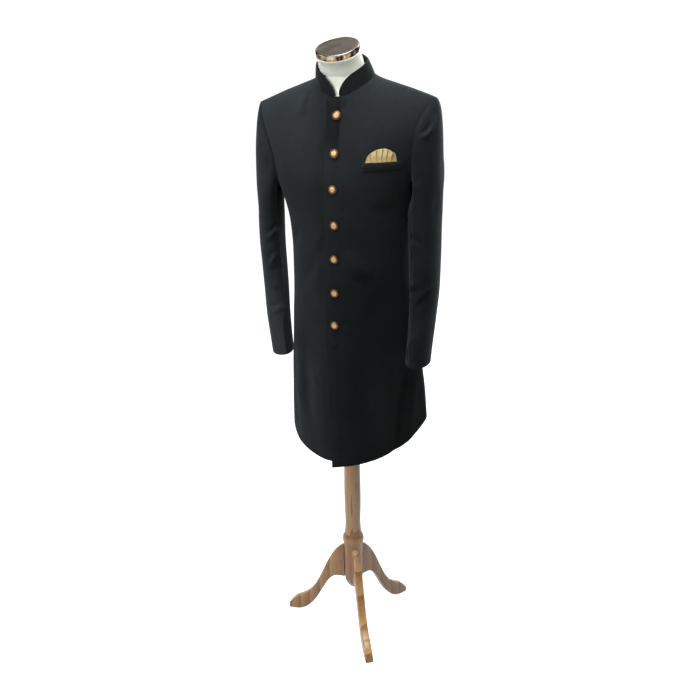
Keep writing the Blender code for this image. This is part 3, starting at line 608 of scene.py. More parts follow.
def body_point(place, back):
    """Points of the body's outer face on its left half. A place is an angle from the front and a
    level, which is 0 at the fullest height and a quarter turn at the ridge of the shoulders."""
    angle, level = place[..., 0], place[..., 1]
    base = BLADE_Z if back else CHEST_Z
    power = BLADE_POWER if back else CHEST_POWER
    above = level > 0
    rise = np.sin(np.clip(level, 0.0, math.pi / 2))
    z = np.where(above, base + (RIDGE_GUESS - base) * rise, base + RISE * level)
    x = smooth(BODY_SECTIONS, 1, z) * np.sin(angle)
    for _ in range(8):
        z = np.where(above, base + (ridge(x) - base) * rise, z)
        x = smooth(BODY_SECTIONS, 1, z) * np.sin(angle)
    side = smooth(BODY_SECTIONS, 4, z)
    centre = smooth(BODY_SECTIONS, 3 if back else 2, z)
    squareness = smooth(BODY_SECTIONS, 6 if back else 5, z)
    y = side + (centre - side) * np.maximum(np.abs(np.cos(angle)), 1e-9) ** squareness
    y = np.where(np.abs(angle - math.pi / 2) < 1e-9, side, y)
    top = ridge_y(x)
    fall = np.maximum(np.cos(np.clip(level, 0.0, math.pi / 2)), 0.0) ** power
    y = np.where(above, top + (y - top) * fall, y)
    return np.stack([x, y, z], axis=-1)


def place_of(x, z, back):
    """Angles and levels of the points with these x and z."""
    x, z = np.broadcast_arrays(np.asarray(x, float), np.asarray(z, float))
    base = BLADE_Z if back else CHEST_Z
    angle = np.arcsin(np.clip(x / smooth(BODY_SECTIONS, 1, z), -1.0, 1.0))
    if back:
        angle = math.pi - angle
    share = np.clip((z - base) / (ridge(x) - base), 0.0, 1.0)
    level = np.where(z <= base, (z - base) / RISE, np.arcsin(share))
    return np.stack([angle, level], axis=-1)


def armhole_place(share, back, side):
    """Places on the armhole, from the underarm (0) to the shoulder point (1)."""
    share = np.asarray(share, float)
    top = ridge(SHOULDER_X[side])
    z = PIT_Z + (top - PIT_Z) * (1 - np.cos(math.pi * share)) / 2
    x = smooth(ARMHOLE[side], 2 if back else 1, z)
    place = place_of(x, z, back)
    base = BLADE_Z if back else CHEST_Z
    place[share <= 0] = (math.pi / 2, (PIT_Z - base) / RISE)
    place[share >= 1] = (place_of(SHOULDER_X[side], top, back)[0], math.pi / 2)
    return place


def neck_place(turn, back):
    """Places on the neckline: turn is 0 in front, 90 at the shoulder and 180 at the nape."""
    turn = np.radians(np.asarray(turn, float))
    x = NECK_X * np.sin(turn)
    side_z = ridge(NECK_X)
    low = NECK_BACK_Z if back else NECK_FRONT_Z
    share = np.cos(turn) ** 2
    place = place_of(x, side_z + (low - side_z) * share, back)
    at_side = np.abs(np.abs(turn) - math.pi / 2) < 1e-9
    place[at_side] = (place_of(NECK_X, side_z, back)[0], math.pi / 2)
    return place


def neck_turn(column, start_turn, back):
    """Turns round the neck of a panel's columns. The collar has the same columns."""
    column = np.asarray(column, float)
    if back:
        return 180.0 - 90.0 * column / NECK_COLUMNS
    first = start_turn - (COLLAR_FIRST + start_turn) * column
    second = COLLAR_FIRST * (2 * column - 3)
    share = (column - 2) / (NECK_COLUMNS - 2)
    rest = COLLAR_FIRST + (90.0 - COLLAR_FIRST) * share
    return np.where(column <= 1, first, np.where(column <= 2, second, rest))


def top_place(column, start_turn, back, side):
    """Places on the top edge of a panel: the neckline, then the shoulder seam."""
    column = np.asarray(column, float)
    at_neck = neck_place(neck_turn(np.minimum(column, NECK_COLUMNS), start_turn, back), back)
    along = np.maximum(column - NECK_COLUMNS, 0.0) / (PANEL_COLUMNS - NECK_COLUMNS)
    x = NECK_X + (SHOULDER_X[side] - NECK_X) * along
    at_shoulder = place_of(x, ridge(x), back)
    at_shoulder[..., 1] = math.pi / 2
    return np.where((column <= NECK_COLUMNS)[..., None], at_neck, at_shoulder)


def row_share(row):
    return 1 - (1 - row / CHEST_ROWS) ** 1.4


def fine(count, per, edge=EDGE_STEPS):
    """Places along this many steps of a solid, closer together at both ends."""
    near = np.array(edge)
    places = np.concatenate([np.linspace(0, count, count * per + 1), near, count - near])
    return np.unique(np.round(places, 6))


def panel(edge_x, back, side):
    """Outer face of one body panel, from the hem up and from its inner edge to the side."""
    base = BLADE_Z if back else CHEST_Z
    columns = fine(PANEL_COLUMNS, ACROSS)
    share = columns / PANEL_COLUMNS
    up = fine(SKIRT_ROWS, DOWN_SKIRT, HEM_STEPS)[:, None] / SKIRT_ROWS
    hem = smooth(HEM[side], 1, 1 - share / 2 if back else share / 2)
    z = hem + (PIT_Z - hem) * up
    if back:
        angle = math.pi - (math.pi / 2) * share + 0 * z
    else:
        angle = (math.pi / 2) * (columns - 1) / (PANEL_COLUMNS - 1) + 0 * z
        edge = place_of(edge_x, z, False)[..., 0]
        angle = np.where(columns < 1, (1 - columns) * edge, angle)
    skirt = np.stack([angle, (z - base) / RISE], axis=-1)
    bottom = skirt[-1]
    start_turn = 180.0 if back else math.degrees(math.asin(edge_x / NECK_X))
    up = row_share(fine(CHEST_ROWS, DOWN_CHEST))[1:, None]
    top = top_place(columns, start_turn, back, side)
    first = inner_edge(bottom[0], top[0], up[:, 0], edge_x, back)[:, None]
    last = armhole_place(up[:, 0], back, side)[:, None]
    up = up[..., None]
    share = share[:, None]
    flat = (1 - up) * bottom + up * top
    cross = (1 - share) * first + share * last
    twist = (1 - up) * ((1 - share) * bottom[0] + share * bottom[-1])
    twist = twist + up * ((1 - share) * top[0] + share * top[-1])
    return body_point(np.concatenate([skirt, flat + cross - twist]), back)


def inner_edge(low, high, up, edge_x, back):
    """Places on a panel's straight inner edge above the underarm."""
    level = low[1] + (high[1] - low[1]) * up
    angle = low[0] + 0 * level
    if not back:
        middle = body_point(np.stack([0 * level, level], axis=-1), False)
        width = smooth(BODY_SECTIONS, 1, middle[:, 2])
        angle = np.arcsin(edge_x / width)
    place = np.stack([angle, level], axis=-1)
    place[up >= 1] = high
    return place


def normals_of(grid):
    return unit(np.cross(np.gradient(grid, axis=1), np.gradient(grid, axis=0)))


def trim(grid, first_row=0.0, last_row=0.0, first_column=0.0, last_column=0.0):
    """Grid with its edges drawn in along the cloth by these lengths."""
    cut = grid.copy()
    cut[0] += first_row * unit(grid[1] - grid[0])
    cut[-1] += last_row * unit(grid[-2] - grid[-1])
    cut[:, 0] += first_column * unit(cut[:, 1] - cut[:, 0])
    cut[:, -1] += last_column * unit(cut[:, -2] - cut[:, -1])
    return cut


def armhole_ring(turn, side):
    """Points of the armhole: turn is 0 at the shoulder, 90 in front and 180 at the underarm."""
    turn = (np.asarray(turn, float) + 180.0) % 360.0 - 180.0
    share = 1 - np.abs(turn) / 180.0
    front, back = (body_point(armhole_place(share, b, side), b) for b in (False, True))
    return np.where((turn < 0)[..., None], back, front)


def sleeve_ring(side, z, turn):
    rows = SLEEVE_SECTIONS[side][::-1]
    x, y, across, along, twist = (smooth(rows, column, z) for column in range(1, 6))
    turn = np.radians(turn)
    twist = np.radians(twist)
    out = across * np.cos(turn)
    fore = -along * np.sin(turn)
    x = x + out * np.cos(twist) + fore * np.sin(twist)
    y = y - out * np.sin(twist) + fore * np.cos(twist)
    return np.stack(np.broadcast_arrays(x, y, z), axis=-1)


def sleeve_turns(under):
    """Turns round the armhole, then round the cuff, of the columns of a half of a sleeve."""
    if under:
        places = fine(FORE_SEAM + HIND_SEAM, ACROSS)
        turns = 180.0 * (1 - row_share(np.abs(places - FORE_SEAM)))
        at_armhole = np.where(places < FORE_SEAM, turns, 360.0 - turns)
        ends = (FORE_TURN, HIND_TURN + 360.0)
    else:
        top = CHEST_ROWS - HIND_SEAM
        places = fine(top + CHEST_ROWS - FORE_SEAM, ACROSS)
        turns = 180.0 * (1 - row_share(CHEST_ROWS - np.abs(places - top)))
        at_armhole = np.sign(places - top) * turns
        ends = (HIND_TURN, FORE_TURN)
    return at_armhole, ends[0] + (ends[1] - ends[0]) * places / places[-1]


def sleeve_grid(side, turns, low_turns, rows):
    """Outer face of a sleeve's columns at these turns, from the armhole down."""
    head_z = SLEEVE_SECTIONS[side][0][0]
    cuff_z = SLEEVE_SECTIONS[side][-1][0]
    radians = np.radians(turns)
    low = (1 - np.cos(radians)) / 2
    way = unit(np.stack([1.0 - 0.50 * low, -0.30 * np.sin(radians), 0.04 - 1.2 * low], axis=-1))
    start = armhole_ring(turns, side) - way * SLEEVE_TUCK
    end = sleeve_ring(side, head_z, low_turns)
    rise = (end - sleeve_ring(side, head_z - ARM_PROBE, low_turns)) / ARM_PROBE
    first = start + way * (HEAD_PUFF[side] * (1 - low) + PIT_PUFF * low)[..., None]
    last = end + rise * ((start[..., 2] - head_z) * HEAD_PULL)[..., None]
    head = rows[rows <= HEAD_ROWS]
    t = ((head / HEAD_ROWS) ** HEAD_POWER)[:, None, None]
    upper = (1 - t) ** 3 * start + 3 * t * (1 - t) ** 2 * first
    upper = upper + 3 * t * t * (1 - t) * last + t**3 * end
    arm = rows[rows > HEAD_ROWS][:, None]
    z = head_z + (cuff_z - head_z) * (arm - HEAD_ROWS) / ARM_ROWS
    lower = sleeve_ring(side, z + 0 * low_turns, low_turns + 0 * z)
    return np.concatenate([upper, lower])


# Relief of the cloth


def along_path(waypoints, count):
    """Points on a smooth curve through waypoints, in the waypoints' own two measures."""
    waypoints = np.array(waypoints, float)
    table = [(step, *point) for step, point in enumerate(waypoints)]
    at = np.linspace(0, len(waypoints) - 1, max(int(count), 6))
    return np.stack([smooth(table, 1, at), smooth(table, 2, at)], axis=-1)


def crease_line(waypoints, surface):
    """Evenly spaced points on the surface, along a crease's path."""
    rough = surface(along_path(waypoints, 40))
    length = np.linalg.norm(np.diff(rough, axis=0), axis=1).sum()
    return surface(along_path(waypoints, length / CREASE_PITCH))


def crease_heights(points, normals, creases, surface, pressed=False):
    """Height that the creases add at each point: a crest or trough that fades at its ends."""
    heights = np.zeros(len(points))
    for waypoints, left, right, height in creases:
        line = crease_line(waypoints, surface)
        reach = (PLEAT_REACH if pressed else CREASE_REACH) * max(left, right)
        inside = (points > line.min(axis=0) - reach) & (points < line.max(axis=0) + reach)
        near = np.nonzero(inside.all(axis=1))[0]
        if not len(near):
            continue
        gaps = ((points[near][:, None] - line[None]) ** 2).sum(axis=2)
        nearest = gaps.argmin(axis=1)
        way = unit(np.gradient(line, axis=0))[nearest]
        offset = points[near] - line[nearest]
        interior = (nearest > 0) & (nearest < len(line) - 1)
        drift = (offset * way).sum(axis=1) * interior
        offset = offset - way * drift[:, None]
        on_left = (np.cross(normals[near], way) * offset).sum(axis=1) > 0
        width = np.where(on_left, left, right)
        share = (nearest + 0.5) / len(line)
        fade = np.sin(math.pi * share) ** CREASE_FADE
        distance = np.linalg.norm(offset, axis=1)
        reach = distance / width
        shape = np.exp(-reach) if pressed else np.exp(-(reach**2))
        heights[near] += height * fade * shape
    return heights


def distance_to(points, line):
    """Distance of each point from a line's nearest point."""
    flat = points.reshape(-1, 3)
    best = np.full(len(flat), 1e9)
    for start in range(0, len(line), 24):
        part = line[start : start + 24]
        gaps = ((flat[:, None] - part[None]) ** 2).sum(axis=2)
        best = np.minimum(best, gaps.min(axis=1))
    return np.sqrt(best).reshape(points.shape[:-1])


def swells(points):
    total = 0.0
    for across, along, up, phase, height in SWELLS:
        wave = points[..., 0] * across + points[..., 1] * along + points[..., 2] * up
        total = total + height * np.sin(wave + phase)
    return total


def seam_dip(distance):
    """The cloth rolls in to a seam, and stands up a little beside it."""
    depth, run = SEAM_ROLL
    height, away, width = SEAM_BANK
    return -depth * np.exp(-distance / run) + height * bell(distance - away, width)


ARMHOLE_LINE = {side: armhole_ring(np.linspace(-180, 180, 240), side) for side in (+1, -1)}
NECK_LINE = np.concatenate(
    [
        body_point(neck_place(np.linspace(-20, 90, 60), False), False),
        body_point(neck_place(np.linspace(90, 180, 40), True), True),
    ]
)
BUTTON_SPOTS = body_point(place_of(0.0, np.array(BUTTON_HEIGHTS), False), False)


def body_surface(back):
    return lambda spots: body_point(place_of(spots[:, 0], spots[:, 1], back), back)


def body_relief(points, normals, side):
    """Height of the body's cloth over its plain surface, in the left half's frame."""
    flat = points.reshape(-1, 3)
    facing = normals.reshape(-1, 3)
    heights = np.zeros(len(flat))
    for back in (False, True):
        creases = BODY_CREASES[side, back]
        heights += crease_heights(flat, facing, creases, body_surface(back))
    real = flat * np.array([side, 1.0, 1.0])
    loose = LOOSE[0] + LOOSE[1] * ease(*LOOSE_FROM_Z, flat[:, 2])
    heights += swells(real) * loose * ease(*CENTRE_CALM, np.abs(flat[:, 0]))
    heights = heights * ease(*ARMHOLE_CALM, distance_to(flat, ARMHOLE_LINE[side]))
    heights = heights * ease(*NECK_CALM, distance_to(flat, NECK_LINE))
    if side > 0:
        left = EDGE_RUN - (flat[:, 0] + LAP)
        slope = (np.sqrt(left**2 + EDGE_SOFT**2) + left) / (2 * EDGE_RUN)
        rise = smooth(EDGE_RISE, 1, flat[:, 2]) * slope * (flat[:, 1] < 0)
        heights = heights + rise * ease(0.0, 0.016, distance_to(flat, NECK_LINE))
        depth, width = BUTTON_HOLLOW
        hollow = depth * bell(distance_to(flat, BUTTON_SPOTS), width)
        heights = heights - hollow * (flat[:, 1] < 0)
    return heights.reshape(points.shape[:-1])


# Meshes


def link_object(name, data):
    made = bpy.data.objects.new(name, data)
    bpy.context.scene.collection.objects.link(made)
    return made


def build(name, points, faces, uv=None, wear=None):
    """Smooth mesh object from arrays of points and of quads."""
    mesh = bpy.data.meshes.new(name)
    mesh.vertices.add(len(points))
    mesh.vertices.foreach_set("co", np.asarray(points, np.float32).ravel())
    faces = np.asarray(faces, np.int32)
    mesh.loops.add(faces.size)
    mesh.loops.foreach_set("vertex_index", faces.ravel())
    mesh.polygons.add(len(faces))
    starts = np.arange(0, faces.size, faces.shape[1], dtype=np.int32)
    mesh.polygons.foreach_set("loop_start", starts)
    mesh.update(calc_edges=True)
    mesh.validate()
    mesh.polygons.foreach_set("use_smooth", np.ones(len(mesh.polygons), bool))
    if uv is not None:
        layer = mesh.uv_layers.new(name="Cloth")
        index = np.empty(len(mesh.loops), np.int32)
        mesh.loops.foreach_get("vertex_index", index)
        layer.data.foreach_set("uv", np.asarray(uv, np.float32)[index].ravel())
    if wear is not None:
        attribute = mesh.attributes.new("wear", "FLOAT", "POINT")
        attribute.data.foreach_set("value", np.asarray(wear, np.float32))
    return link_object(name, mesh)


def lengths(grid, axis):
    """Length from the start of each line of a grid."""
    steps = np.linalg.norm(np.diff(grid, axis=axis), axis=2)
    return np.insert(np.cumsum(steps, axis=axis), 0, 0.0, axis=axis)


def shell(name, outer, inner, mirrored, wear, tight=EVEN):
    """Cloth between two grids, with a rounded edge and a thread grid as its map.

    The shares in tight say how much the first row, last row, first and last column are rounded.
    """
    index = np.arange(outer[..., 0].size).reshape(outer.shape[:2])
    size = index.size
    around = [index[0], index[1:, -1], index[-1, -2::-1], index[-2:0:-1, 0]]
    around = np.concatenate(around)
    middle = ((outer + inner) / 2).reshape(-1, 3)[around]
    thickness = np.linalg.norm(outer - inner, axis=2).mean()
    round_in = ROUND_IN * thickness * np.array(tight)
    outer = trim(outer, *round_in)
    inner = trim(inner, *round_in)
    points = np.concatenate([outer.reshape(-1, 3), inner.reshape(-1, 3), middle])
    face = [index[:-1, :-1], index[:-1, 1:], index[1:, 1:], index[1:, :-1]]
    face = np.stack(face, axis=-1).reshape(-1, 4)
    here = np.arange(len(around))
    after = np.roll(here, -1)
    rim, next_rim = 2 * size + here, 2 * size + after
    rim_out = np.stack([around, rim, next_rim, around[after]], axis=1)
    rim_in = np.stack([rim, size + around, size + around[after], next_rim], axis=1)
    faces = np.concatenate([face, size + face[:, ::-1], rim_out, rim_in])
    if mirrored:
        faces = faces[:, ::-1]
    u, v = lengths(outer, 1), lengths(outer, 0)
    v = v - v[len(v) // 2] + v[len(v) // 2].mean()
    uv = np.stack([u, v], axis=-1).reshape(-1, 2)
    uv = np.concatenate([uv, uv, uv[around]])
    wear = wear.ravel()
    edge = np.minimum(wear[around] + WEAR_AT_EDGE, 1.0)
    all_wear_and_painted_light = np.concatenate([wear, 0 * wear, edge])
    all_wear_and_painted_light[around] = edge
    return build(name, points, faces, uv, all_wear_and_painted_light)


def loft(name, rings, wear=None):
    """Closed solid through rings of points, capped at both ends."""
    rings = np.asarray(rings, float)
    count, sides = rings.shape[:2]
    here = np.arange(count * sides).reshape(count, sides)
    after = np.roll(here, -1, axis=1)
    faces = np.stack([here[:-1], after[:-1], after[1:], here[1:]], axis=-1).reshape(-1, 4)
    ends = [rings[0].mean(axis=0), rings[-1].mean(axis=0)]
    points = np.concatenate([rings.reshape(-1, 3), ends])
    j = np.arange(0, sides, 2)
    n = count * sides
    last = n - sides
    k = (j + 2) % sides
    low = np.stack([0 * j + n, k, j + 1, j], axis=1)
    high = np.stack([0 * j + n + 1, last + j, last + j + 1, last + k], axis=1)
    return build(name, points, np.concatenate([faces, low, high]), None, wear)


def dress(piece, material, slot, *nodes):
    piece.data.materials.append(material)
    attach(piece, "root")
    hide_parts(*nodes)


def sew(name, grid, normals, relief, wear, side=+1, mirrored=False, tight=EVEN, wall=WALL):
    """Cloth piece of the coat, from the plain grid of its outer face."""
    flip = np.array([side, 1.0, 1.0])
    grid = grid + normals * relief[..., None]
    outer = leaned(grid * flip)
    inner = leaned((grid - normals * wall) * flip)
    return shell("coat_" + name, outer, inner, mirrored, wear, tight)


def crest_wear_and_trough_shade(relief):
    """Wear from rubbing on the crests of the creases, and painted shade in their troughs."""
    return WEAR_AT_REST + CREST_WEAR_AND_TROUGH_SHADE * np.clip(relief / CREST_HEIGHT, -0.7, 1.0)


def shade(distance, line):
    """Painted shade near a line, from its depth and width."""
    depth, width = line
    return depth * bell(distance, width)


# Materials


def fill(tree, node, inputs):
    """Give a node's inputs a value or a link. _0 is the first input, and any other _ a space."""
    for key, value in inputs.items():
        socket = node.inputs[int(key[1:]) if key[0] == "_" else key.replace("_", " ")]
        if isinstance(value, bpy.types.NodeSocket):
            tree.links.new(value, socket)
        else:
            socket.default_value = value


def adder(tree):
    """Function that adds a node to a tree and gives one of its outputs."""

    def add(kind, output=0, settings=None, **inputs):
        node = tree.nodes.new(kind)
        for key, value in (settings or {}).items():
            setattr(node, key, value)
        fill(tree, node, inputs)
        return node.outputs[output]

    return add


def graph(name):
    """New material, a function that adds a node and one that fills the shader's inputs."""
    made = bpy.data.materials.new(name)
    made.use_nodes = True
    tree = made.node_tree

    def look(**inputs):
        fill(tree, tree.nodes["Principled BSDF"], inputs)

    return made, adder(tree), look


def noise(add, place, scale, detail, **more):
    return add("ShaderNodeTexNoise", "Fac", Vector=place, Scale=scale, Detail=detail, **more)


def ranged(add, value, low, high, **more):
    return add("ShaderNodeMapRange", "Result", Value=value, To_Min=low, To_Max=high, **more)


def bump(add, strength, depth, height, **more):
    return add("ShaderNodeBump", "Normal", Strength=strength, Distance=depth, Height=height, **more)


def ramp(add, factor, stops):
    colour = add("ShaderNodeValToRGB", "Color", _0=factor)
    elements = colour.node.color_ramp.elements
    while len(elements) < len(stops):
        elements.new(0.5)
    for element, (place, tint) in zip(elements, stops):
        element.position = place
        element.color = (*tint, 1.0)
    return colour


def bands(add, settings, **inputs):
    return add("ShaderNodeTexWave", "Fac", settings, **inputs)


def blend(add, *parts):
    """Sum of some sources, each with its weight."""
    total = 0.0
    weigh = {"operation": "MULTIPLY_ADD"}
    for source, weight in parts:
        total = add("ShaderNodeMath", 0, weigh, _0=source, _1=weight, _2=total)
    return total


def object_place(add):
    return add("ShaderNodeTexCoord", "Object")


def stretched(add, stretch):
    """Places on an object, drawn out by these shares along its axes."""
    return add("ShaderNodeMapping", "Vector", Vector=object_place(add), Scale=stretch)


def thread_map(add):
    return add("ShaderNodeUVMap", "UV", {"uv_map": "Cloth"})


def wear_and_painted_light_attribute(add):
    return add("ShaderNodeAttribute", "Fac", {"attribute_name": "wear"})


def cloth_material(name, dark, light):
    """Fine wool twill: diagonal ribs of yarn with a soft fuzz, paler where it is rubbed or has
    painted light, darker where it has painted shade.
    """
    made, add, look = graph(name)
    place = object_place(add)
    threads = {"Vector": thread_map(add), "Detail": 1.0, "Detail_Scale": 2.0}
    ribs, yarns = {"bands_direction": "DIAGONAL"}, {"bands_direction": "X"}
    rib = bands(add, ribs, Scale=DIAGONAL_BAND / TWILL, Distortion=0.6, **threads)
    yarn = bands(add, yarns, Scale=BAND / (TWILL * 0.5), Distortion=0.8, **threads)
    fuzz = noise(add, place, 1400.0, 3.0)
    slub = noise(add, place, 95.0, 5.0, Roughness=0.62)
    cloud = noise(add, place, 11.0, 3.0)
    weave = blend(add, (rib, 0.65), (yarn, 0.35))
    parts = ((weave, 0.28), (slub, 0.26), (cloud, 0.26), (fuzz, 0.10), (wear_and_painted_light_attribute(add), 0.30))
    tone = blend(add, *parts)
    # The darkest stop is cloth in deepest painted shade; the palest is rubbed cloth in painted
    # light.
    pressed = tuple(DEEPEST_SHADE_TONE * part for part in dark)
    rubbed_and_lit = tuple(RUBBED_AND_LIT_TONE * part for part in light)
    stops = [(0.05, pressed), (0.30, dark), (0.78, light), (1.0, rubbed_and_lit)]
    height = blend(add, (weave, 1.0), (fuzz, 0.5))
    look(
        Base_Color=ramp(add, tone, stops),
        Roughness=ranged(add, tone, 0.90, 0.70),
        Normal=bump(add, 0.40, 0.00016, height, Normal=bump(add, 0.35, 0.0006, slub)),
        Specular_IOR_Level=0.05,
        Sheen_Weight=0.10,
        Sheen_Roughness=0.45,
        Sheen_Tint=(0.80, 0.88, 0.92, 1.0),
    )
    return made


def silk_material():
    """Ribbed gold silk, with a painted highlight on the swell of its pleats and on its rolled hem,
    and painted shade in its folds.
    """
    made, add, look = graph("gold_silk")
    uv = thread_map(add)
    ribs = {"Scale": BAND / SILK_RIB, "Distortion": 0.5, "Detail": 1.0}
    rib = bands(add, {"bands_direction": "Y"}, Vector=uv, **ribs)
    slub = noise(add, uv, 260.0, 4.0)
    tone = blend(add, (rib, 0.15), (slub, 0.35), (wear_and_painted_light_attribute(add), 0.60))
    look(
        Base_Color=ramp(add, tone, GOLD),
        Roughness=ranged(add, slub, 0.34, 0.50),
        Normal=bump(add, 0.35, 0.00010, rib),
        Sheen_Weight=0.35,
        Sheen_Tint=(1.0, 0.86, 0.60, 1.0),
    )
    return made


def metal_material(name, stops, rough, grain, mottle=0.18, stretch=(1.0, 1.0, 1.0)):
    """Plated metal, tarnished in hollows with faint rubbing marks; painted shade at the button
    rims, painted reflection streaks on the cap rim.
    """
    made, add, look = graph(name)
    long = stretched(add, stretch)
    marks = noise(add, long, grain, 4.0)
    tone = blend(add, (wear_and_painted_light_attribute(add), 1.0), (marks, mottle))
    look(
        Base_Color=ramp(add, tone, stops),
        Roughness=ranged(add, marks, *rough),
        Normal=bump(add, 0.08, 0.0001, marks),
        Metallic=1.0,
    )
    return made


def cap_material():
    """Dull bronze tone with a few pale flecks, painted to stand in for the reflections of the cap's
    mirror-like top.
    """
    made, add, look = graph("cap_top")
    place = object_place(add)
    cloud = noise(add, place, 38.0, 5.0)
    fleck = noise(add, place, 240.0, 2.0)
    spot = ranged(add, fleck, 0.0, 1.0, From_Min=0.68, From_Max=0.76)
    tone = blend(add, (cloud, 1.0), (spot, 0.55))
    look(
        Base_Color=ramp(add, tone, CAP_PAINTED_REFLECTION_TONES),
        Roughness=ranged(add, cloud, 0.30, 0.46),
        Metallic=0.25,
    )
    return made


def form_material():
    """Painted shell, faintly grained and uneven."""
    made, add, look = graph("white_form")
    place = object_place(add)
    grain = noise(add, place, 620.0, 3.0)
    tone = blend(add, (noise(add, place, 7.0, 4.0), 0.7), (grain, 0.3))
    look(
        Base_Color=ramp(add, tone, FORM_TONES),
        Roughness=ranged(add, grain, 0.48, 0.66),
        Normal=bump(add, 0.25, 0.00025, grain),
    )
    return made


def wood_material(name, stretch):
    """Lacquered wood with its grain along the piece."""
    made, add, look = graph(name)
    long = stretched(add, stretch)
    kind = {"wave_type": "RINGS", "rings_direction": "Z", "wave_profile": "SAW"}
    ring = {"Scale": 26.0, "Distortion": 5.0, "Detail": 3.0, "Detail_Scale": 1.4}
    rings = bands(add, kind, Vector=long, **ring)
    pores = noise(add, long, 420.0, 5.0)
    tone = blend(add, (rings, 0.60), (pores, 0.40))
    look(
        Base_Color=ramp(add, tone, WOOD_TONES),
        Roughness=ranged(add, pores, 0.34, 0.52),
        Normal=bump(add, 0.20, 0.0003, tone),
        Coat_Weight=0.30,
        Coat_Roughness=0.20,
    )
    return made


# Width of the twill's diagonal ribs and of the silk's ribs
TWILL = 0.0012
SILK_RIB = 0.0007
# Scales of a wave texture that put its bands one metre apart
BAND = 0.3142
DIAGONAL_BAND = 0.6283
# Tone of cloth in deepest painted shade against its dark yarn, and of rubbed cloth in painted light
# against its light yarn
DEEPEST_SHADE_TONE = 0.35
RUBBED_AND_LIT_TONE = 1.5
GOLD = [(0.20, (0.230, 0.125, 0.026)), (0.50, (0.400, 0.275, 0.095)), (0.90, (0.560, 0.440, 0.210))]
ROSE = [(0.12, (0.020, 0.010, 0.005)), (0.40, (0.240, 0.125, 0.052)), (0.85, (0.560, 0.360, 0.185))]
# Browns and pales streaked round the cap's chrome rim: painted reflections of its surroundings.
CHROME_PAINTED_REFLECTIONS = [
    (0.38, (0.030, 0.018, 0.014)),
    (0.43, (0.200, 0.110, 0.060)),
    (0.50, (0.500, 0.360, 0.200)),
    (0.62, (0.640, 0.600, 0.540)),
    (0.95, (0.200, 0.190, 0.180)),
]
# Tones of the cap's top: a painted reflection of its mirror-like shine.
CAP_PAINTED_REFLECTION_TONES = [
    (0.35, (0.043, 0.031, 0.021)),
    (0.65, (0.054, 0.041, 0.029)),
    (1.0, (0.160, 0.135, 0.110)),
]
FORM_TONES = [(0.25, (0.925, 0.915, 0.790)), (0.75, (0.965, 0.955, 0.845))]
WOOD_TONES = [
    (0.15, (0.300, 0.125, 0.038)),
    (0.50, (0.520, 0.260, 0.095)),
    (0.85, (0.660, 0.370, 0.160)),
]
WOOL = cloth_material("coat_twill", (0.0064, 0.0070, 0.0075), (0.0165, 0.0184, 0.0197))
COLLAR_WOOL = cloth_material("collar_twill", (0.0048, 0.0053, 0.0056), (0.0117, 0.0130, 0.0139))
SILK = silk_material()
BRASS = metal_material("rose_brass", ROSE, (0.40, 0.54), 900.0)
CHROME = metal_material("cap_chrome", CHROME_PAINTED_REFLECTIONS, (0.20, 0.32), 75.0, 0.90, (1.0, 1.0, 0.03))
CAP_TOP = cap_material()
FORM_WHITE = form_material()
POLE_WOOD = wood_material("pole_wood", (1.0, 1.0, 0.06))
LEG_WOOD = wood_material("leg_wood", (0.35, 0.35, 0.10))


# The coat


def body_wear_and_painted_light(name, side, grid, relief):
    """Wear of a front or back, with painted shade on the skirts and along the left front's edge,
    and painted light on the right front near the lap.
    """
    x, z = grid[..., 0], grid[..., 2]
    wear = crest_wear_and_trough_shade(relief)
    # Painted shade on the skirts of both fronts, stronger towards the side.
    if name.startswith("front"):
        near_side = np.linspace(0.0, 1.0, grid.shape[1])[None]
        skirt_shade = SKIRT_SHADE[side] * (SKIRT_SHADE_RISE[0] + SKIRT_SHADE_RISE[1] * near_side)
        skirt_shade = skirt_shade * ease(1.0, 0.8, near_side)
        wear = wear - ease(*SKIRT_SHADE_FROM_Z, z) * skirt_shade
    # Painted light on the right front near the lap.
    if name == "front_right":
        wear = wear + LAP_LIGHT * ease(*LAP_LIGHT_X, x) * ease(*LOW_FROM_Z, z)
    # Painted shade on the strip along the left front's edge.
    if name == "front_left":
        edge = ease(EDGE_RUN + EDGE_STRIP_SHADE_SOFT, EDGE_RUN - EDGE_STRIP_SHADE_SOFT, x + LAP)
        wear = wear - EDGE_STRIP_SHADE * ease(*EDGE_STRIP_SHADE_FROM_Z, z) * edge
    return wear


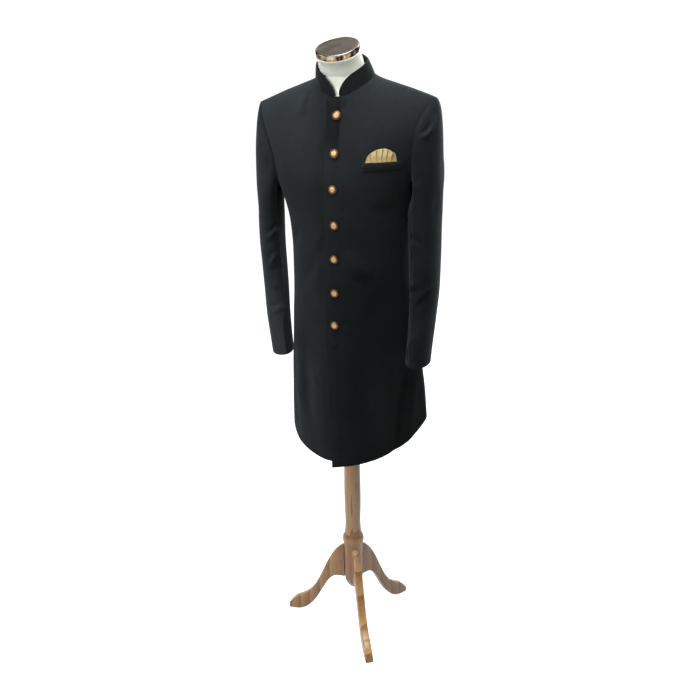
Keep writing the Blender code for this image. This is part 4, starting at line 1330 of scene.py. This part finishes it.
def make_body():
    """The two fronts and the two backs."""
    for side, word, edge_x in ((+1, "left", -LAP), (-1, "right", -UNDERLAP)):
        front = panel(edge_x, False, side)
        back = panel(0.0, True, side)
        if side < 0:
            tuck = 1 - ease(*TUCK_X, front[..., 0])
            front = front - normals_of(front) * (LAP_STEP * tuck)[..., None]
        front_normals = normals_of(front)
        back_normals = -normals_of(back)
        pit = len(fine(SKIRT_ROWS, DOWN_SKIRT, HEM_STEPS))
        neck = int(np.searchsorted(fine(PANEL_COLUMNS, ACROSS), NECK_COLUMNS))
        # The normals agree along the side seam and the shoulder seam.
        for seam in ((slice(pit), -1), (-1, slice(neck, None))):
            shared = unit(front_normals[seam] + back_normals[seam])
            front_normals[seam] = shared
            back_normals[seam] = shared
        back_normals[:, 0, 0] = 0.0
        back_normals = unit(back_normals)
        seams = [front[:pit, -1].copy(), front[-1, neck:].copy(), back[:, 0].copy()]
        gap = SEAM / 2
        front = trim(front, last_row=gap, last_column=gap)
        back = trim(back, last_row=gap, first_column=gap, last_column=gap)
        for name, grid, normals, mirrored, count in (
            ("front_" + word, front, front_normals, side < 0, 2),
            ("back_" + word, back, back_normals, side > 0, 3),
        ):
            relief = body_relief(grid, normals, side)
            wear = body_wear_and_painted_light(name, side, grid, relief)
            for line in seams[:count]:
                relief = relief + seam_dip(distance_to(grid, line))
            near_arm = distance_to(grid, ARMHOLE_LINE[side])
            near_neck = distance_to(grid, NECK_LINE)
            relief = relief + ARMHOLE_DIP * seam_dip(near_arm)
            relief = relief + NECK_DIP * seam_dip(near_neck)
            # Painted shade along the neckline.
            wear = wear - shade(near_neck, NECK_SHADE)
            tight = (1.0, 0.2, 1.0, 1.0)
            piece = sew(name, grid, normals, relief, wear, side, mirrored, tight)
            dress(piece, WOOL, "coat_wool", name)


def sleeve_wear_and_painted_light(side, z, turn, relief, apart, front):
    """Wear of a sleeve at some distance from its armhole, with painted shade along the armhole, on
    the left sleeve and on the right sleeve's inner face, and painted light on the right sleeve's
    front.
    """
    # Painted shade along the armhole.
    wear = crest_wear_and_trough_shade(relief) - shade(apart, ARMHOLE_SHADE)
    # Painted shade over the whole left sleeve, more at its foot.
    if side > 0:
        return wear - LEFT_SLEEVE_SHADE[0] - LEFT_SLEEVE_SHADE[1] * ease(*LOW_FROM_Z, z)
    # Painted shade in the hollow beside the right armhole, in front.
    wear = wear - shade(apart, VALLEY_SHADE) * front
    crest = smooth(FORE_CREST, 1, z)
    low = ease(*FACE_FROM_Z, z)
    ends = (crest + CREST_HALF, crest - CREST_HALF)
    # Painted light on the right sleeve's front, up to the crest.
    face = FACE_LIGHT * ease(*FACE_TURNS, turn) * ease(*ends, turn)
    ends = (crest + INNER_RUN[0], crest + INNER_RUN[1])
    # Painted shade on the right sleeve's inner face, past the crest.
    inner = INNER_SHADE * ease(*ends, turn) * ease(*INNER_TURNS, turn)
    return wear + face * low - inner * low


def make_sleeves():
    head = fine(HEAD_ROWS, DOWN_HEAD, HEAD_STEPS)
    rows = np.concatenate([head, HEAD_ROWS + fine(ARM_ROWS, DOWN_ARM, ARM_STEPS)[1:]])
    for side, word in ((+1, "left"), (-1, "right")):
        halves = []
        for under in (False, True):
            turns, low_turns = sleeve_turns(under)
            grid = sleeve_grid(side, turns, low_turns, rows)
            halves.append((grid, normals_of(grid), low_turns))
        for one, other in ((-1, 0), (0, -1)):
            shared = unit(halves[0][1][:, one] + halves[1][1][:, other])
            halves[0][1][:, one] = shared
            halves[1][1][:, other] = shared
        seams = [halves[0][0][:, 0].copy(), halves[0][0][:, -1].copy()]
        surface = sleeve_surface(halves)
        for (grid, normals, low_turns), word_of_half in zip(halves, ("top", "under")):
            name = "sleeve_%s_%s" % (word_of_half, word)
            z = grid[..., 2]
            flat, facing = grid.reshape(-1, 3), normals.reshape(-1, 3)
            relief = crease_heights(flat, facing, SLEEVE_CREASES[side], surface)
            relief = relief + crease_heights(flat, facing, SLEEVE_PLEATS[side], surface, True)
            real = grid * np.array([side, 1.0, 1.0])
            relief = relief.reshape(z.shape) + SLEEVE_LOOSE * swells(real)
            apart = distance_to(grid, ARMHOLE_LINE[side])
            relief = relief * ease(*SLEEVE_CALM, apart)
            front = ease(0.01, -0.02, grid[..., 1]) * ease(1.560, 1.440, z)
            wear = sleeve_wear_and_painted_light(side, z, low_turns + 0 * z, relief, apart, front)
            for number, line in enumerate(seams):
                flatter = ease(1.10, 1.20, z) if side < 0 and number else 1.0
                relief = relief + seam_dip(distance_to(grid, line)) * flatter
            relief = relief + ARMHOLE_DIP * seam_dip(apart)
            if side < 0:
                depth, fall, climb = ARM_VALLEY
                hollow = (1 - np.exp(-apart / fall)) * np.exp(-apart / climb)
                relief = relief - depth * hollow * front
            grid = trim(grid, first_column=SEAM * 0.75, last_column=SEAM * 0.75)
            piece = sew(name, grid, normals, relief, wear, side, side < 0)
            dress(piece, WOOL, "coat_wool", name)


def sleeve_surface(halves):
    """Function from (turn, z) to points of the sleeve."""

    def surface(spots):
        points = []
        for turn, z in spots:
            for (grid, _, low_turns), at in zip(halves, (turn, turn % 360.0)):
                if low_turns[0] <= at <= low_turns[-1]:
                    column = int(np.abs(low_turns - at).argmin())
                    row = np.interp(-z, -grid[:, column, 2], np.arange(len(grid)))
                    low = min(int(row), len(grid) - 2)
                    part = row - low
                    spot = grid[low, column] * (1 - part) + grid[low + 1, column] * part
                    if z < grid[-1, column, 2]:
                        spot = spot + np.array([0.0, 0.0, z - grid[-1, column, 2]])
                    points.append(spot)
                    break
        return np.array(points)

    return surface


def neckline(turn):
    """Points of the neckline, by turn from the front, positive on the left."""
    turn = np.asarray(turn, float)
    front, back = (body_point(neck_place(np.abs(turn), b), b) for b in (False, True))
    line = np.where((np.abs(turn) > 90)[:, None], back, front)
    line[:, 0] = np.copysign(line[:, 0], turn)
    return line


def make_collar():
    front = fine(NECK_COLUMNS - 2, ACROSS) + 2
    back = fine(NECK_COLUMNS, ACROSS)[::-1][1:]
    half = np.concatenate([neck_turn(front, 0.0, False), neck_turn(back, 0.0, True)])
    turns = np.concatenate([half, -half[-2::-1]])
    base = neckline(turns)
    base[:, 2] += COLLAR_LIFT
    steps = np.linalg.norm(np.diff(base, axis=0), axis=1)
    along = np.concatenate([[0.0], np.cumsum(steps)])
    to_end = np.minimum(along, along[-1] - along)
    share = np.minimum(to_end / COLLAR_ROUND, 1.0)
    height = COLLAR_HEIGHT * np.maximum(np.sqrt(1 - (1 - share) ** 2), COLLAR_LEAST)
    inward = unit(np.array(COLLAR_CENTRE) - base[:, :2])
    up = fine(COLLAR_ROWS, 6, HEAD_STEPS)[:, None] / COLLAR_ROWS
    rise = height * up
    grid = np.empty((*rise.shape, 3))
    fore, hind = COLLAR_LEAN
    slant = fore + (hind - fore) * ease(*COLLAR_LEAN_TURNS, np.abs(turns))
    grid[..., :2] = base[:, :2] + inward * (slant * rise)[..., None]
    grid[..., 0] += COLLAR_SHIFT * rise / COLLAR_HEIGHT
    grid[..., 2] = base[:, 2] + rise
    # The foot goes down with the right front, which lies under the left one.
    out = -grid[0, :, 0]
    sunk = COLLAR_SINK * LAP_STEP * ease(*COLLAR_SINK_X, out) * (1 - ease(*TUCK_X, out))
    sunk = sunk * (np.abs(turns) < 90)
    grid[..., 1:] += sunk[:, None] * (1 - up[..., None]) ** 2 * np.array([0.7, -0.7])
    normals = normals_of(grid)
    if normals[0, 0, 1] > 0:
        normals = -normals
    normals[..., 2] = 0.0
    normals = unit(normals)
    wave = sum(height * np.sin(along * number + phase) for number, phase, height in COLLAR_WAVES)
    belly = COLLAR_BELLY * np.sin(math.pi * up)
    relief = (wave * up + belly) * ease(0.0, 0.012, to_end)
    tight = (0.2, 1.0, 1.0, 1.0)
    wear = crest_wear_and_trough_shade(0.4 * relief)
    piece = sew("collar", grid, normals, relief, wear, tight=tight, wall=COLLAR_WALL)
    dress(piece, COLLAR_WOOL, "collar_wool", "collar")


# A place and two beside it, by angle and level
SIDESTEPS = ((0.0, 0.0), (0.004, 0.0), (0.0, 0.004))


def front_spots(x, z):
    """Points and normals of the left front's outer face, creases and all."""
    place = place_of(x, z, False)
    spot, aside, above = (body_point(place + np.array(way), False) for way in SIDESTEPS)
    normals = unit(np.cross(aside - spot, above - spot))
    relief = body_relief(spot, normals, +1)
    return spot + normals * relief[..., None], normals


def make_buttons():
    """Domed metal buttons with a beaded rim and a raised eight-petal flower."""
    path = np.linspace(0, len(BUTTON_PROFILE) - 1, 6 * (len(BUTTON_PROFILE) - 1) + 1)
    table = [(k, *row) for k, row in enumerate(BUTTON_PROFILE)]
    share = smooth(table, 1, path)[1:]
    height = smooth(table, 2, path)[1:]
    turn = round_turns(96)
    petal = np.abs(np.cos(PETALS / 2 * turn))[None] ** 0.7
    reach = share[:, None]
    upper = (path[1:] <= 9)[:, None]
    flower = np.clip((0.30 + 0.34 * petal - reach) / 0.05, 0.0, 1.0)
    flower = flower * np.clip((reach - 0.12) / 0.04, 0.0, 1.0)
    hub = np.clip((0.10 - reach) / 0.03, 0.0, 1.0)
    beads = bell(reach - 0.885, 0.035) * (0.5 + 0.5 * np.cos(BEADS * turn)[None])
    work = (flower, hub, beads)
    raised = sum(each * part for each, part in zip(BUTTON_RELIEF, work)) * upper
    tone = BUTTON_GROUND + sum(each * part for each, part in zip(BUTTON_TONES, work))
    # Painted shade round the button's rim.
    tone = tone - BUTTON_RIM_SHADE * ease(0.85, 0.95, reach)
    tone = np.clip(tone, 0, 0.85) * upper
    wear = np.concatenate([tone[::-1].ravel(), [0.2, 0.7]])
    for number, z in enumerate(BUTTON_HEIGHTS, 1):
        points, normals = front_spots(np.array([0.0]), np.array([z]))
        point, normal = leaned(points)[0], normals[0]
        across = unit(np.cross(np.array([0.0, 0.0, 1.0]), normal))
        up = np.cross(normal, across)
        # Each button is sewn on at a turn of its own.
        roll = 0.35 * math.sin(2.4 * number + 0.8)
        spoke = across * np.cos(turn + roll)[:, None] + up * np.sin(turn + roll)[:, None]
        rings = point + normal * (BUTTON_SHANK + height[:, None] + raised)[..., None]
        rings = rings + spoke[None] * (BUTTON_FIT * BUTTON_RADIUS * share)[:, None, None]
        name = "button_%d" % number
        piece = loft("coat_" + name, rings[::-1], wear)
        dress(piece, BRASS, "rose_brass", name)


def patch(x, z, lift, wall):
    """Outer and inner faces of a cloth that lies on the left front."""
    points, normals = front_spots(x, z)
    inner = points + normals * lift[..., None]
    return leaned(inner + normals * wall), leaned(inner)


def make_pocket():
    rise = WELT["slant"] * (WELT["outer"] - WELT["inner"])
    across = fine(8, 12)[None] / 8
    up = fine(3, 9, POCKET_STEPS)[:, None] / 3
    x = WELT["inner"] + (WELT["outer"] - WELT["inner"]) * across + 0 * up
    z = WELT["bottom"] + rise * across + (WELT["top"] - WELT["bottom"]) * up
    edge = [np.minimum(at, 1 - at) * span for at, span in zip((across, up), WELT_SPAN)]
    edge = np.minimum(*edge)
    lift = 0.0007 + 0.0022 * ease(0.0, 0.6, up) + 0 * across
    # A row of stitches sinks in just inside the edge.
    lift = lift + 0.0005 * ease(0.0, 0.004, edge) - 0.0004 * bell(edge - 0.0022, 0.0007)
    outer, inner = patch(x, z, lift, WELT_WALL)
    piece = shell("coat_breast_pocket", outer, inner, False, 0.3 + 0 * x)
    dress(piece, WOOL, "coat_wool", "breast_pocket")

    pleats = len(SQUARE_FOLDS) + 1
    across = fine(pleats, 24)[None] / pleats
    up = fine(4, 11, POCKET_STEPS)[:, None] / 4
    foot = WELT["top"] - SQUARE["hidden"] + rise * (0.06 + 0.82 * across)
    shown = SQUARE["hidden"] + 0.0005 + SQUARE["height"] * smooth(SQUARE_BROW, 1, across)
    height = shown * up
    x = SQUARE["inner"] + (SQUARE["outer"] - SQUARE["inner"]) * across + 0 * up
    z = foot + height
    lines = [0 * up] + [low + (high - low) * up for low, high in SQUARE_FOLDS] + [0 * up + 1.0]
    phase = sum(np.clip((across - a) / (b - a), 0.0, 1.0) for a, b in zip(lines, lines[1:]))
    part = phase % 1.0
    # Each pleat swells to its outer side and drops into the fold before the next.
    swell = np.sin(part / PLEAT_CREST * math.pi / 2) ** 1.4
    fold = np.where(part < PLEAT_CREST, swell, 1 - ease(PLEAT_CREST, 1.0, part))
    open_up = ease(0.006, 0.022, height)
    hem = bell(shown - height - SQUARE_HEM[0], SQUARE_HEM[1]) * open_up
    lift = 0.0008 + 0.0026 * fold * open_up * (1 - 0.75 * hem) + 0.0020 * hem
    last = ease(4.85, 5.05, phase)
    lift = lift - 0.0008 * last * open_up * (1 - hem)
    outer, inner = patch(x, z, lift, SQUARE_WALL)
    # Painted highlight on each pleat's swell and on the rolled hem, and painted shade in the folds
    # and the last fold.
    tone = 0.30 + 0.62 * fold - 0.30 * last
    tone = tone * (1 - hem) + 1.0 * hem
    piece = shell("coat_pocket_square", outer, inner, False, np.clip(tone, 0.0, 1.0))
    dress(piece, SILK, "silk", "pocket_square")


def form_ridge(x):
    past = np.maximum((np.abs(x) - STUMP_FROM) / (STUMP_TO - STUMP_FROM), 0.0)
    return ridge(x) - FORM_DROP - STUMP_FALL * past**2.0


def form_half_width(z):
    width = float(smooth(FORM_SECTIONS, 1, z))
    if form_ridge(width) >= z:
        return width
    low, high = 0.0, width
    for _ in range(40):
        middle = (low + high) / 2
        if form_ridge(middle) > z:
            low = middle
        else:
            high = middle
    return low


def form_ring(z, sides):
    """Ring of the torso at a height."""
    width = form_half_width(z)
    turn = round_turns(sides)
    x = np.clip(width * np.sin(turn), -0.99999 * width, 0.99999 * width)
    half = smooth(FORM_SECTIONS, 1, z)
    side = smooth(FORM_SECTIONS, 4, z)
    y = np.empty(sides)
    for back in (False, True):
        base = BLADE_Z if back else CHEST_Z
        power = BLADE_POWER if back else FORM_CHEST_POWER
        centre = smooth(FORM_SECTIONS, 3 if back else 2, z)
        part = side + (centre - side) * np.sqrt(np.maximum(1 - (x / half) ** 2, 0.0))
        if z > base:
            share = np.minimum((z - base) / (form_ridge(x) - base), 1.0)
            top = ridge_y(x)
            part = top + (part - top) * np.sqrt(np.maximum(1 - share**2, 0.0)) ** power
        mine = np.cos(turn) < 0 if back else np.cos(turn) >= 0
        y[mine] = part[mine]
    return np.stack([x, y, np.full(sides, z)], axis=-1)


def neck_ring(share, sides):
    tilt = math.radians(CAP_TILT) * float(ease(0.0, 1.0, share))
    top = np.array(CAP_CENTRE)
    top = top - (CAP_HEIGHT + SEAM) * np.array([0.0, -math.sin(tilt), math.cos(tilt)])
    bottom = np.array([0.0, NECK_BASE_Y, NECK_BASE_Z])
    centre = bottom + (top - bottom) * share
    slim = NECK_SLIM * math.sin(math.pi * share)
    x_radius = NECK_BASE_X_RADIUS + (CAP_RADIUS - NECK_BASE_X_RADIUS) * share
    y_radius = NECK_BASE_Y_RADIUS + (CAP_RADIUS - NECK_BASE_Y_RADIUS) * share - slim
    turn = round_turns(sides)
    y = -y_radius * np.cos(turn)
    ring = np.stack([x_radius * np.sin(turn), y * math.cos(tilt), y * math.sin(tilt)], axis=-1)
    return centre + ring


def refined(rings, steps):
    """Rings with more between them, on smooth curves."""
    rings = np.asarray(rings, float)
    gaps = np.linalg.norm(np.diff(rings, axis=0), axis=2).mean(axis=1)
    at = np.concatenate([[0.0], np.cumsum(gaps)])
    slopes = np.gradient(rings, at, axis=0)
    out = []
    for i, gap in enumerate(gaps):
        for k in range(steps):
            out.append(cubic(k / steps, gap, rings[i], slopes[i], rings[i + 1], slopes[i + 1]))
    return np.array([*out, rings[-1]])


def make_form():
    rings = [form_ring(z, FORM_SIDES) for z in FORM_HEIGHTS]
    middle = np.array([0.0, NECK_BASE_Y])
    for z in NECK_ROOT_HEIGHTS:
        offset = form_ring(min(z, NECK_ROOT_TOP_Z), FORM_SIDES)[:, :2] - middle
        turn = np.arctan2(offset[:, 0], -offset[:, 1])
        x, y = np.sin(turn), np.cos(turn)
        one = np.linalg.norm(offset, axis=1)
        two = np.hypot(NECK_BASE_Y_RADIUS * x, NECK_BASE_X_RADIUS * y)
        two = NECK_BASE_X_RADIUS * NECK_BASE_Y_RADIUS / two
        reach = (one**NECK_ROOT_POWER + two**NECK_ROOT_POWER) ** (1 / NECK_ROOT_POWER)
        flat = middle + reach[:, None] * np.stack([x, -y], axis=-1)
        rings.append(np.column_stack([flat, np.full(FORM_SIDES, z)]))
    rings += [neck_ring(share, FORM_SIDES) for share in NECK_SHARES]
    # The foot turns in a little under the shell.
    inset = rings[0] * np.array([FOOT_SHARE, FOOT_SHARE, 1.0]) + np.array([0.0, 0.0004, 0.0])
    body = refined(rings, 3)
    body[0, :, 2] += FOOT_ROUND
    body = np.concatenate([[inset], body])
    piece = loft("form_shell", leaned(body))
    dress(piece, FORM_WHITE, "form_white", "form_torso")


def lathe(profile, sides):
    """Rings round the Z axis through a profile of (height, radius)."""
    turn = round_turns(sides)
    spoke = np.stack([np.cos(turn), np.sin(turn)], axis=-1)
    return [np.column_stack([spoke * radius, np.full(sides, z)]) for z, radius in profile]


def rounded(profile, times):
    """Profile with its corners cut, so that they turn softly."""
    profile = np.array(profile, float)
    for _ in range(times):
        low, high = profile[:-1], profile[1:]
        cut = np.stack([0.75 * low + 0.25 * high, 0.25 * low + 0.75 * high], axis=1).reshape(-1, 2)
        profile = np.concatenate([profile[:1], cut, profile[-1:]])
    return profile


def make_cap():
    tilt = math.radians(CAP_TILT)
    axis = np.array([0.0, -math.sin(tilt), math.cos(tilt)])
    across = np.array([1.0, 0.0, 0.0])
    along = np.cross(axis, across)
    turn = round_turns(128)
    spoke = across * np.cos(turn)[:, None] + along * np.sin(turn)[:, None]
    profile = [
        # height, share of the radius
        (-CAP_HEIGHT, 0.960),
        (-CAP_HEIGHT, 0.985),
        (-CAP_HEIGHT + 0.0010, 1.000),
        (-0.0120, 1.000),
        (-0.0116, 0.995),
        (-0.0112, 1.000),
        (-0.0040, 1.000),
        (-0.0022, 0.998),
        (-0.0009, 0.986),
        (-0.0002, 0.965),
        (-0.0002, 0.950),
        (-0.0006, 0.942),
        (-0.0004, 0.930),
        (-0.0002, 0.500),
    ]
    heights, shares = rounded(profile, 1).T
    rings = []
    for height, share in zip(heights, shares):
        rings.append(np.array(CAP_CENTRE) + axis * height + spoke * CAP_RADIUS * share)
    # The lip of the rim is darker than its side.
    edge = ease(-0.0030, -0.0016, heights)
    wear = np.concatenate([np.repeat(edge, len(turn)), [0.0, 1.0]])
    piece = loft("form_cap", leaned(np.array(rings)), wear)
    dress(piece, CHROME, "chrome", "form_neck_cap")
    piece.data.materials.append(CAP_TOP)
    # The disc starts inside the bright rim.
    disc = int(np.argmax(shares < 0.94))
    for polygon in piece.data.polygons:
        if min(polygon.vertices) >= disc * len(turn):
            polygon.material_index = 1


def make_pole():
    piece = loft("stand_post", lathe(rounded(POLE, 2), 96))
    dress(piece, POLE_WOOD, "stand_wood", "stand_pole")


def make_legs():
    turn = round_turns(40) - math.pi / 2
    # Board with softly rounded corners
    across, high = (np.sign(part) * np.abs(part) ** 0.30 for part in (np.cos(turn), np.sin(turn)))
    across = LEG_THICKNESS / 2 * across
    reach = np.linspace(LEG[0][0], LEG[-1][0], 90)
    top = smooth(LEG, 1, reach)
    bottom = np.maximum(smooth(LEG, 2, reach), 0.0)
    for number, degrees in enumerate(LEG_ANGLES, 1):
        x, y = math.cos(math.radians(degrees)), math.sin(math.radians(degrees))
        out, side, up = np.array([[x, y, 0.0], [-y, x, 0.0], [0.0, 0.0, 1.0]])
        rings = []
        for at, upper, lower in zip(reach, top, bottom):
            z = (upper + lower) / 2 + high * (upper - lower) / 2
            rings.append(out * at + side * across[:, None] + up * z[:, None])
        piece = loft("stand_foot_%d" % number, rings)
        dress(piece, LEG_WOOD, "stand_wood", "stand_leg_%d" % number)


make_body()
make_sleeves()
make_collar()
make_buttons()
make_pocket()
make_form()
make_cap()
make_pole()
make_legs()


# Floor, light and camera


WHITE = (1.0, 1.0, 1.0, 1.0)
BACKDROP = 1.05
# Strength of the soft light from below and from above
AMBIENT = (0.06, 0.34)
FLOOR_TONES = [(0.3, (0.46, 0.46, 0.46)), (0.7, (0.50, 0.50, 0.50))]
FLOOR_GLOW = 0.98
FLOOR_REACH = 6.0
FLOOR_Z = -0.0005
COOL = (0.93, 1.0, 1.03)
WARM = (1.0, 0.97, 0.90)
LIGHTS = [
    # name, place, height aimed at, size, spread in degrees, power, colour
    ("side", (-2.9, -0.9, 2.4), 1.42, 1.5, 60.0, 5.5, COOL),
    ("front", (-1.1, -3.0, 2.6), 1.42, 1.5, 60.0, 9.2, COOL),
    ("front_top", (0.9, -1.8, 3.9), 1.3, 1.2, 180.0, 29.0, WARM),
    ("top", (0.1, -0.2, 3.9), 1.2, 1.6, 180.0, 158.0, COOL),
    ("back", (0.2, 1.8, 3.6), 1.3, 1.5, 180.0, 28.0, COOL),
    ("rear", (1.4, 2.8, 2.4), 1.25, 1.5, 60.0, 6.5, COOL),
    ("far_side", (2.6, -1.6, 1.9), 1.0, 1.6, 180.0, 3.5, WARM),
]


def floor_material():
    made, add, look = graph("studio_floor")
    cloud = noise(add, object_place(add), 3.0, 3.0)
    look(
        Base_Color=ramp(add, cloud, FLOOR_TONES),
        Roughness=0.7,
        Emission_Color=WHITE,
        Emission_Strength=FLOOR_GLOW,
    )
    return made


def make_world():
    """White backdrop, with a soft light that comes mostly from above."""
    world = bpy.data.worlds.new("studio")
    world.use_nodes = True
    tree = world.node_tree
    add = adder(tree)
    up = add("ShaderNodeSeparateXYZ", "Z", _0=add("ShaderNodeTexCoord", "Generated"))
    low, high = AMBIENT
    strength = ranged(add, up, low, high, From_Min=-0.7, From_Max=1.0)
    soft = tree.nodes["Background"]
    fill(tree, soft, {"Strength": strength})
    white = add("ShaderNodeBackground", Color=WHITE, Strength=BACKDROP)
    seen = add("ShaderNodeLightPath", "Is Camera Ray")
    mix = add("ShaderNodeMixShader", _0=seen, _1=soft.outputs[0], _2=white)
    fill(tree, tree.nodes["World Output"], {"Surface": mix})
    bpy.context.scene.world = world


def aimed(place, way):
    """Matrix of a lamp or camera at a place that looks a way."""
    turn = Vector(way).to_track_quat("-Z", "Y").to_matrix().to_4x4()
    return Matrix.Translation(place) @ turn


def area_light(name, place, aim_z, size, spread, power, colour):
    data = bpy.data.lights.new(name, "AREA")
    data.shape = "SQUARE"
    data.size = size
    data.spread = math.radians(spread)
    data.energy = power
    data.color = colour
    lamp = link_object(name, data)
    lamp.matrix_world = aimed(place, Vector((0.0, 0.0, aim_z)) - Vector(place))


def make_stage():
    corners = np.array([(-1, -1, 0), (1, -1, 0), (1, 1, 0), (-1, 1, 0)]) * FLOOR_REACH
    floor = build("floor", corners + np.array([0.0, 0.0, FLOOR_Z]), np.array([[0, 1, 2, 3]]))
    floor.data.materials.append(floor_material())
    floor.visible_diffuse = False
    make_world()
    for row in LIGHTS:
        area_light(*row)


CAMERA = {"azimuth": 19.0, "distance": 2.44, "height": 1.885, "pitch": 22.3, "roll": -1.0}


def make_camera():
    azimuth, pitch = math.radians(CAMERA["azimuth"]), math.radians(CAMERA["pitch"])
    x, y = math.sin(azimuth), -math.cos(azimuth)
    data = bpy.data.cameras.new("camera")
    data.lens = 50.0
    data.sensor_width = 36.0
    camera = link_object("camera", data)
    place = (CAMERA["distance"] * x, CAMERA["distance"] * y, CAMERA["height"])
    way = (-x * math.cos(pitch), -y * math.cos(pitch), -math.sin(pitch))
    roll = Matrix.Rotation(math.radians(CAMERA["roll"]), 4, "Z")
    camera.matrix_world = aimed(place, way) @ roll
    bpy.context.scene.camera = camera


make_stage()
make_camera()
bpy.context.scene.view_settings.view_transform = "Standard"
